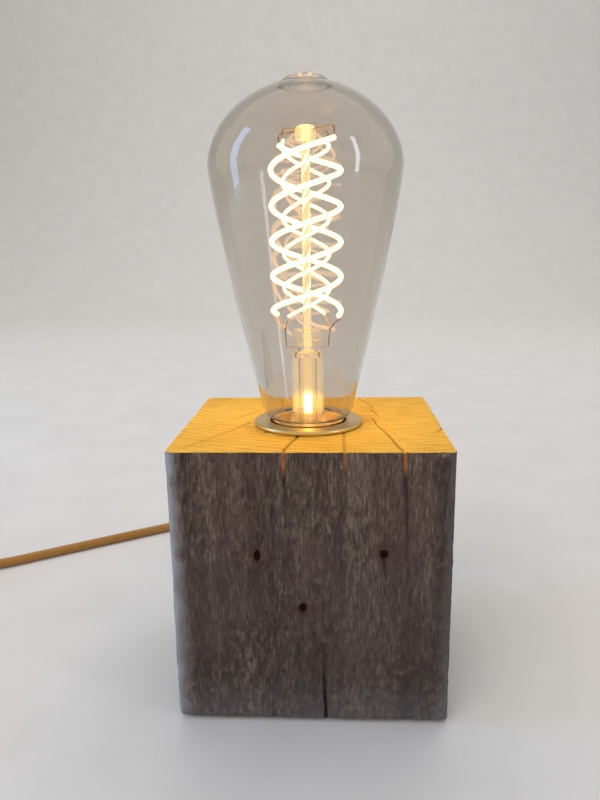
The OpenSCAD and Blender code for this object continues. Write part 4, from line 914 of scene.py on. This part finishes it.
RING_LINE = [(16.1, -12), (17.2, -12), (17.2, -0.02), (18.5, -0.02), (18.85, 0.1), (19.05, 0.4), (19.1, 0.8),
             (19.0, 1.2), (18.7, 1.5), (18.2, 1.6), (17.7, 1.52), (16.0, 1.42), (14.6, 1.42), (14.1, 1.5),
             (13.75, 1.48), (13.55, 1.3), (13.5, 1.0), (13.5, 0.2), (13.6, 0.02), (16.1, 0.02)]
ring = turned("metal_ring", RING_LINE, "base", sides=160, sharp=50)
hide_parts("trim_ring")
print("ring", round(ring.dimensions.x / MM, 1), "mm across")

# %% Cap with its thread
PITCH, WAVE, SHEET = 3.629, 0.55, 0.35
CAP_MEAN = [(-22.4, 9.4), (-20.8, 11.95), (-19.8, 12.55), (-5, 12.55), (-3.6, 12.95), (1.8, 12.95)]
CAP_WAVE = [(-20.8, 0), (-19.8, WAVE), (-5, WAVE), (-3.6, 0)]


def threaded(name, mean, wave, body, sides=72, levels=10):
    """A rolled sheet with a round thread: up the outside and down the inside."""
    low, high = mean[0][0], mean[-1][0]
    count = math.ceil((high - low) / PITCH * levels)
    heights = [low + (high - low) * i / count for i in range(count + 1)]
    points = []
    for inset, order in ((0, heights), (SHEET, heights[::-1])):
        for h in order:
            m, w = np.interp(h, *zip(*mean)), np.interp(h, *zip(*wave))
            for a in (2 * math.pi * k / sides for k in range(sides)):
                r = m - inset + w * math.cos(2 * math.pi * h / PITCH - a)
                points.append(at_lamp(r * math.cos(a), r * math.sin(a), h))
    faces = band(2 * len(heights), sides, closed=True)
    return add_piece(name, points, faces, body, sharp=60)


cap = threaded("lamp_cap", CAP_MEAN, CAP_WAVE, "lamp")
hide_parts("bulb_cap")
print("cap faces", len(cap.data.polygons))

# %% [markdown]
# Four spirals climb round the rod, two wide ones and two narrow ones inside them. Each is a strip
# of round section, a little thicker for the wide pair.

# %% Filament spirals
LIT_LOW, LIT_HIGH, SPIRAL_RISE, LEFT_H, SPIRAL_STEPS = 39.0, 94.5, 23.0, 62.9, 96
SPIRALS = [(11.7, 0, 1.6), (11.7, 180, 1.6), (7.8, 62, 1.0), (7.8, 242, 1.0)]
filaments = []
for number, (r, turn, thick) in enumerate(SPIRALS, 1):
    line = []
    for n in range(-1, SPIRAL_STEPS + 2):
        h = LIT_LOW + (LIT_HIGH - LIT_LOW) * n / SPIRAL_STEPS
        a = math.radians(180 + turn + 360 * (h - LEFT_H) / SPIRAL_RISE)
        line.append(at_lamp(r * math.cos(a), r * math.sin(a), h))
    filament = swept(f"spiral_{number}", line, thick * MM, "lamp", sides=12)
    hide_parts(f"filament_{number}")
    filaments.append(filament)
print("spirals:", len(filaments))

# %% [markdown]
# A pad of felt under the block keeps it from scratching the table. Felt has no woven edge: it is
# cut with a knife, so its edge is soft and a little uneven.

# %% Felt pad
felt_outline = rounded_rectangle(BLOCK_W - 4, BLOCK_D - 4, 2.5, step=8)
felt_rings = []
for inset, z in ((0.45, 0.0), (0.1, 0.25), (0.0, 0.75), (0.1, 1.25), (0.3, FELT)):
    felt_rings.append([(x * (1 - inset / 43), y * (1 - inset / 38), z) for x, y in felt_outline])
felt = layered("felt_pad", felt_rings, "base")
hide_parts("felt_base")
dress(mottled("wool_felt", "#211e1c", "#3a3532", 0.7, 0.95, bump=0.35, Sheen_Weight=0.5), felt)
print("felt", round(felt.dimensions.x / MM, 1), "mm wide")

# %% [markdown]
# ## Ring and cap metals
# The ring was brushed as it turned, which leaves fine rings of scratches, so its highlight spreads
# round it. Plain metal with an anisotropic shine would do it too, but drawn scratches also show
# close up. Its nickel is painted a warm gold: painted light of the lit lamp beside it. The cap is brass.

# %% Brushed ring and rolled cap
def brushed_round(name, dark, light, roughness):
    made, tree, shader, mm = new_material(name, light, Metallic=1.0, Roughness=roughness)
    # scratches 0.15 mm apart show only as a soft grain, so they are drawn at 0.3 mm
    lines = add_node(tree, "TexNoise", {"W": from_axis(tree, mm), "Scale": 3.3, "Detail": 2.0},
                     noise_dimensions="1D")
    colour = add_node(tree, "ValToRGB", [lines], stops=[(0.3, dark), (0.7, light)])
    set_surface(tree, shader, colour, lines, 0.02, 0.6)
    return made


# the ring's nickel is painted warm gold: painted light of the lit lamp beside it
dress(brushed_round("satin_nickel_painted_warm", "#d6b679", "#f2d796", 0.34), ring)
dress(mottled("rolled_brass", "#b08c3e", "#d2b062", 6, 0.32, Metallic=1.0), cap)
print("ring and cap finished")

# %% [markdown]
# ## Filaments that glow
# Each filament is a thin strip of light-emitting chips under a yellow phosphor, bent into a
# spiral. Lit, it is too bright to show any surface and reads as warm white. The strips send out
# light themselves; small warm lamps inside the glass, which no ray sees, carry most of it to the
# timber, because light found only by chance would leave the picture grainy.

# %% Filament material and lamps
GLOW_STRENGTH = 4.5
# height above the block, power in watts and radius in metres; the first lights the ring
GLOW_LAMPS = [(8, 0.06, 0.003), (44, 0.07, 0.009), (66, 0.07, 0.009), (88, 0.07, 0.009)]


def glowing(name, colour, glow, bright):
    made, tree, shader, mm = new_material(name, colour, Roughness=0.6)
    chips = add_node(tree, "TexNoise", {"Vector": mm, "Scale": 1.3, "Detail": 1.0})
    emitted = add_node(tree, "ValToRGB", [chips], stops=[(0.3, glow), (0.7, bright)])
    tree.links.new(emitted, shader.inputs["Emission Color"])
    shader.inputs["Emission Strength"].default_value = GLOW_STRENGTH
    return made


dress(glowing("phosphor_lit", "#f2d28a", "#ffc070", "#ffe2b0"), *filaments)
for number, (h, power, radius) in enumerate(GLOW_LAMPS):
    light = bpy.data.lights.new(f"filament_light_{number}", "POINT")
    light.energy, light.color, light.shadow_soft_size = power, linear("#ffbe50")[:3], radius
    lamp_light = bpy.data.objects.new(light.name, light)
    lamp_light.location = at_lamp(0, 0, h)
    lamp_light.visible_camera = lamp_light.visible_glossy = lamp_light.visible_transmission = False
    bpy.context.scene.collection.objects.link(lamp_light)
print("filament lamps:", len(GLOW_LAMPS))

# %% [markdown]
# ## Textile cord
# The lead is sheathed in a braid of rayon: two sets of strands wound opposite ways, over and
# under each other. The pattern is drawn on the cord's own u and v, sixteen strands round and one
# turn in 14 mm, which makes each strand about 0.9 mm wide.

# %% Braid
STRANDS, TURN_LENGTH = 16, 14.0


def braided(name, dark, light):
    made, tree, shader, mm = new_material(name, light, Roughness=0.62, Sheen_Weight=0.35, Sheen_Roughness=0.4)
    uv = add_node(tree, "UVMap", uv_map="weave")
    parts = add_node(tree, "SeparateXYZ", [uv]).node.outputs
    crossings = STRANDS / 2
    round_it = add_node(tree, "Math", [parts["X"], crossings], operation="MULTIPLY")
    along = add_node(tree, "Math", [parts["Y"], crossings / (TURN_LENGTH * MM)], operation="MULTIPLY")
    hills = []
    for way in ("ADD", "SUBTRACT"):
        phase = add_node(tree, "Math", [round_it, along], operation=way)
        phase = add_node(tree, "Math", [phase, 2 * math.pi], operation="MULTIPLY")
        hills.append(add_node(tree, "Math", [phase], operation="SINE"))
    weave = add_node(tree, "Math", hills, operation="MULTIPLY")
    height = add_node(tree, "MapRange", [weave, -0.6, 0.6])
    threads = add_node(tree, "TexNoise", {"Vector": mm, "Scale": 2.5, "Detail": 3.0})
    # the weave's crests are painted lighter and its hollows darker, as painted light and shade; the noise
    # gives the threads their uneven colour
    level = add_node(tree, "Math", [threads, 0.5, height], operation="MULTIPLY_ADD")
    colour = add_node(tree, "ValToRGB", [level], stops=[(0.25, dark), (0.95, light)])
    set_surface(tree, shader, colour, height, 0.25, 0.8)
    return made


gold_braid = braided("rayon_braid", "#7a4f1c", "#c08a3c")
dress(gold_braid, cord_to_switch, cord_to_plug, cord_inside)
dress(mottled("woven_nylon_tape", "#211e1b", "#3b3632", 0.6, 0.8, bump=0.2), tape)
print("braid", gold_braid.name)

# %% [markdown]
# ## The other pieces
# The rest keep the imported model's shape. Their moulded and pressed edges get a fine rounding from
# a bevel modifier, and each gets the finish of what it is made of. A row below holds a finish's
# name, its two tones, the size of its patches, its roughness, what else it has, and its pieces.

# %% Finishes of the other pieces
METAL = {"Metallic": 1.0}
FINISHES = [
    # brass, stamped or turned: yellow metal with a soft, slightly uneven shine
    ("stamped_brass", "#a8863c", "#d0a955", 3, 0.35, METAL,
     "screw_shell neutral_strip centre_contact line_terminal neutral_terminal switch_contacts"),
    # steel under a coat of zinc: cool grey and a little clouded
    ("zinc_plated_steel", "#9a9da1", "#c3c6c9", 4, 0.38, METAL,
     "terminal_screws holder_screws mounting_bracket bracket_screws threaded_nipple lock_nut "
     "grip_screw switch_screws"),
    # a drop of solder, dull and rippled; drawn nickel wire, painted warm as painted light of the lamp beside
    # it; smooth plated pins
    ("soldered_tin", "#9b9b97", "#c6c6c1", 1.5, 0.4, {**METAL, "bump": 0.05}, "cap_contact"),
    ("nickel_wire_painted_warm", "#8d7558", "#c9ad83", 2, 0.35, METAL, "support_wires lead_wires supply_wires"),
    ("nickel_plated_brass", "#b9bcc0", "#d9dbde", 5, 0.2, METAL, "plug_pins"),
    # white porcelain under a clear glaze, with sharp highlights
    ("glazed_porcelain", "#e4e0d6", "#f3f0e8", 12, 0.16, {"rough_by": 0.04, "Coat_Weight": 0.4},
     "holder_body holder_base"),
    # a hard moulding with the dull grain of a spark-eroded mould, and a glossier one beside it
    ("moulded_thermoset", "#1e1b18", "#2b2723", 0.8, 0.5, {"bump": 0.05},
     "switch_lower switch_upper plug_body"),
    ("moulded_abs", "#171412", "#211d1a", 3, 0.28, {"rough_by": 0.04}, "switch_rocker"),
    # nylon, off-white and satin; soft sleeves with an even colour and a low shine
    ("white_nylon", "#d9d6cd", "#ebe8e0", 3, 0.45, {}, "cord_grip"),
    ("sleeve_pvc", "#24211e", "#2f2b27", 2, 0.45, {}, "pin_sleeves"),
    ("brown_pvc", "#6a3f22", "#82502e", 2, 0.35, {}, "core_line switch_wires"),
    ("blue_pvc", "#3766a6", "#4678ba", 2, 0.35, {}, "core_neutral"),
    # cement, chalky with a fine grain; glass pressed into the cap, black and shiny
    ("cap_cement", "#c9bca2", "#ddd2bb", 1, 0.85, {"bump": 0.06}, "cap_cement"),
    ("black_glass", "#141212", "#1f1c1b", 4, 0.12, {"rough_by": 0.04}, "cap_insulator"),
    # the driver's green board of glass cloth in epoxy, and its parts under a dark dipped coat
    ("glass_epoxy_board", "#2f5a3c", "#41714f", 1.2, 0.4, {}, "driver_board"),
    ("epoxy_coated_parts", "#262a31", "#3a3f48", 2, 0.35, {}, "driver_parts")]
ROUNDED = {"plug_body": 1.2, "switch_upper": 0.7, "switch_lower": 0.5, "switch_rocker": 0.5,
           "holder_body": 0.5, "holder_base": 0.5, "lock_nut": 0.25, "mounting_bracket": 0.2}
for name, dark, light, size, roughness, more, names in FINISHES:
    finish = mottled(name, dark, light, size, roughness, **more)
    dress(finish, *[nodes[n] for n in names.split()])
dress(stem_glass, nodes["exhaust_tube"])
dress(rod_glass, nodes["centre_rod"])
for name, width in ROUNDED.items():
    bevel = nodes[name].modifiers.new("rounding", "BEVEL")
    bevel.width, bevel.segments, bevel.limit_method = width * MM, 3, "ANGLE"
    bevel.angle_limit, bevel.use_clamp_overlap = math.radians(35), True
print("finishes:", len(FINISHES), " rounded pieces:", len(ROUNDED))

# %% [markdown]
# ## Floor, world and lamps
# A plain pale floor, a tall cool lamp on the left like a window and a narrow one on the right
# show the object as in a small studio. Only these two are mirrored, as slim bands along the
# glass's edges; the wide lamps in front and above would lay a patch over it. The background is
# the floor's own pale colour: rays from the camera, and those mirrored or bent by metal and
# glass, see it at full strength, while the light that falls on the object stays at a plain level.

# %% Studio, in metres
FLOOR_HALF, FLOOR_NEAR, FLOOR_FLAT, SWEEP, WALL_TOP = 4.0, -3.0, 1.3, 1.4, 4.0


def make_floor():
    """A floor that sweeps up into a wall behind the object, so that no corner shows."""
    line = [(FLOOR_NEAR, 0.0), (FLOOR_FLAT, 0.0)]
    line += [(FLOOR_FLAT + SWEEP * math.sin(a), SWEEP * (1 - math.cos(a))) for a in arc(3, 90, 3)]
    line.append((FLOOR_FLAT + SWEEP, WALL_TOP))
    points = [(x, y, z) for y, z in line for x in (-FLOOR_HALF, FLOOR_HALF)]
    faces = [(2 * i, 2 * i + 1, 2 * i + 3, 2 * i + 2) for i in range(len(line) - 1)]
    mesh = bpy.data.meshes.new("floor")
    mesh.from_pydata(points, [], faces)
    mesh.polygons.foreach_set("use_smooth", [True] * len(mesh.polygons))
    floor = bpy.data.objects.new("floor", mesh)
    bpy.context.scene.collection.objects.link(floor)
    dress(mottled("painted_board", "#d3cfc9", "#d9d5cf", 40, 0.75, bump=0.0), floor)


def make_world():
    world = bpy.data.worlds.new("studio")
    world.use_nodes = True
    tree = world.node_tree
    bpy.context.scene.world = world
    path = add_node(tree, "LightPath").node.outputs
    seen = add_node(tree, "Math", [path["Is Camera Ray"], path["Is Glossy Ray"]], operation="MAXIMUM")
    seen = add_node(tree, "Math", [seen, path["Is Transmission Ray"]], operation="MAXIMUM")
    lighting = add_node(tree, "Background", ["#f3f5f8", 0.5])
    backdrop = add_node(tree, "Background", ["#cdc8c1", 1.0])
    both = add_node(tree, "MixShader", [seen, lighting, backdrop])
    tree.links.new(both, tree.nodes["World Output"].inputs["Surface"])


def add_area(name, place, target, wide, high, energy, colour, mirrored=True, through=False):
    """A soft lamp. One that isn't mirrored lights the object but leaves no patch on the glass.

    through lets it be mirrored by the glass's far wall as well, which is seen through the near one.
    """
    light = bpy.data.lights.new(name, "AREA")
    light.shape, light.size, light.size_y = "RECTANGLE", wide, high
    light.energy, light.color = energy, linear(colour)[:3]
    lamp = bpy.data.objects.new(name, light)
    lamp.location = place
    lamp.rotation_euler = (Vector(target) - Vector(place)).to_track_quat("-Z", "Y").to_euler()
    lamp.visible_glossy, lamp.visible_transmission = mirrored, through
    bpy.context.scene.collection.objects.link(lamp)


make_floor()
make_world()
add_area("window_left", (-1.3, -0.1, 0.5), (0, 0, 0.15), 0.26, 1.5, 7.0, "#9cc4ff")
add_area("strip_right", (1.15, -0.62, 0.4), (0, 0, 0.12), 0.12, 1.2, 2.5, "#e6e6ff", through=True)
add_area("soft_front", (-0.7, -1.1, 0.95), (0, 0, 0.08), 1.0, 1.0, 9.0, "#fcfcff", mirrored=False)
add_area("above", (0.1, 0.5, 1.5), (0, 0, 0.08), 1.2, 1.2, 6.0, "#ffffff", mirrored=False)
add_area("on_backdrop", (0.0, 0.9, 1.9), (0, 2.3, 0.6), 1.8, 0.8, 16.0, "#ffffff", mirrored=False)
scene = bpy.context.scene
scene.view_settings.view_transform = "Standard"
scene.cycles.use_denoising = True
# a ray crosses two walls of the lamp and the glass inside it, so it needs many bounces
scene.cycles.max_bounces = 20
scene.cycles.transmission_bounces = scene.cycles.transparent_max_bounces = 16
scene.cycles.sample_clamp_indirect = 4.0
print("studio ready")
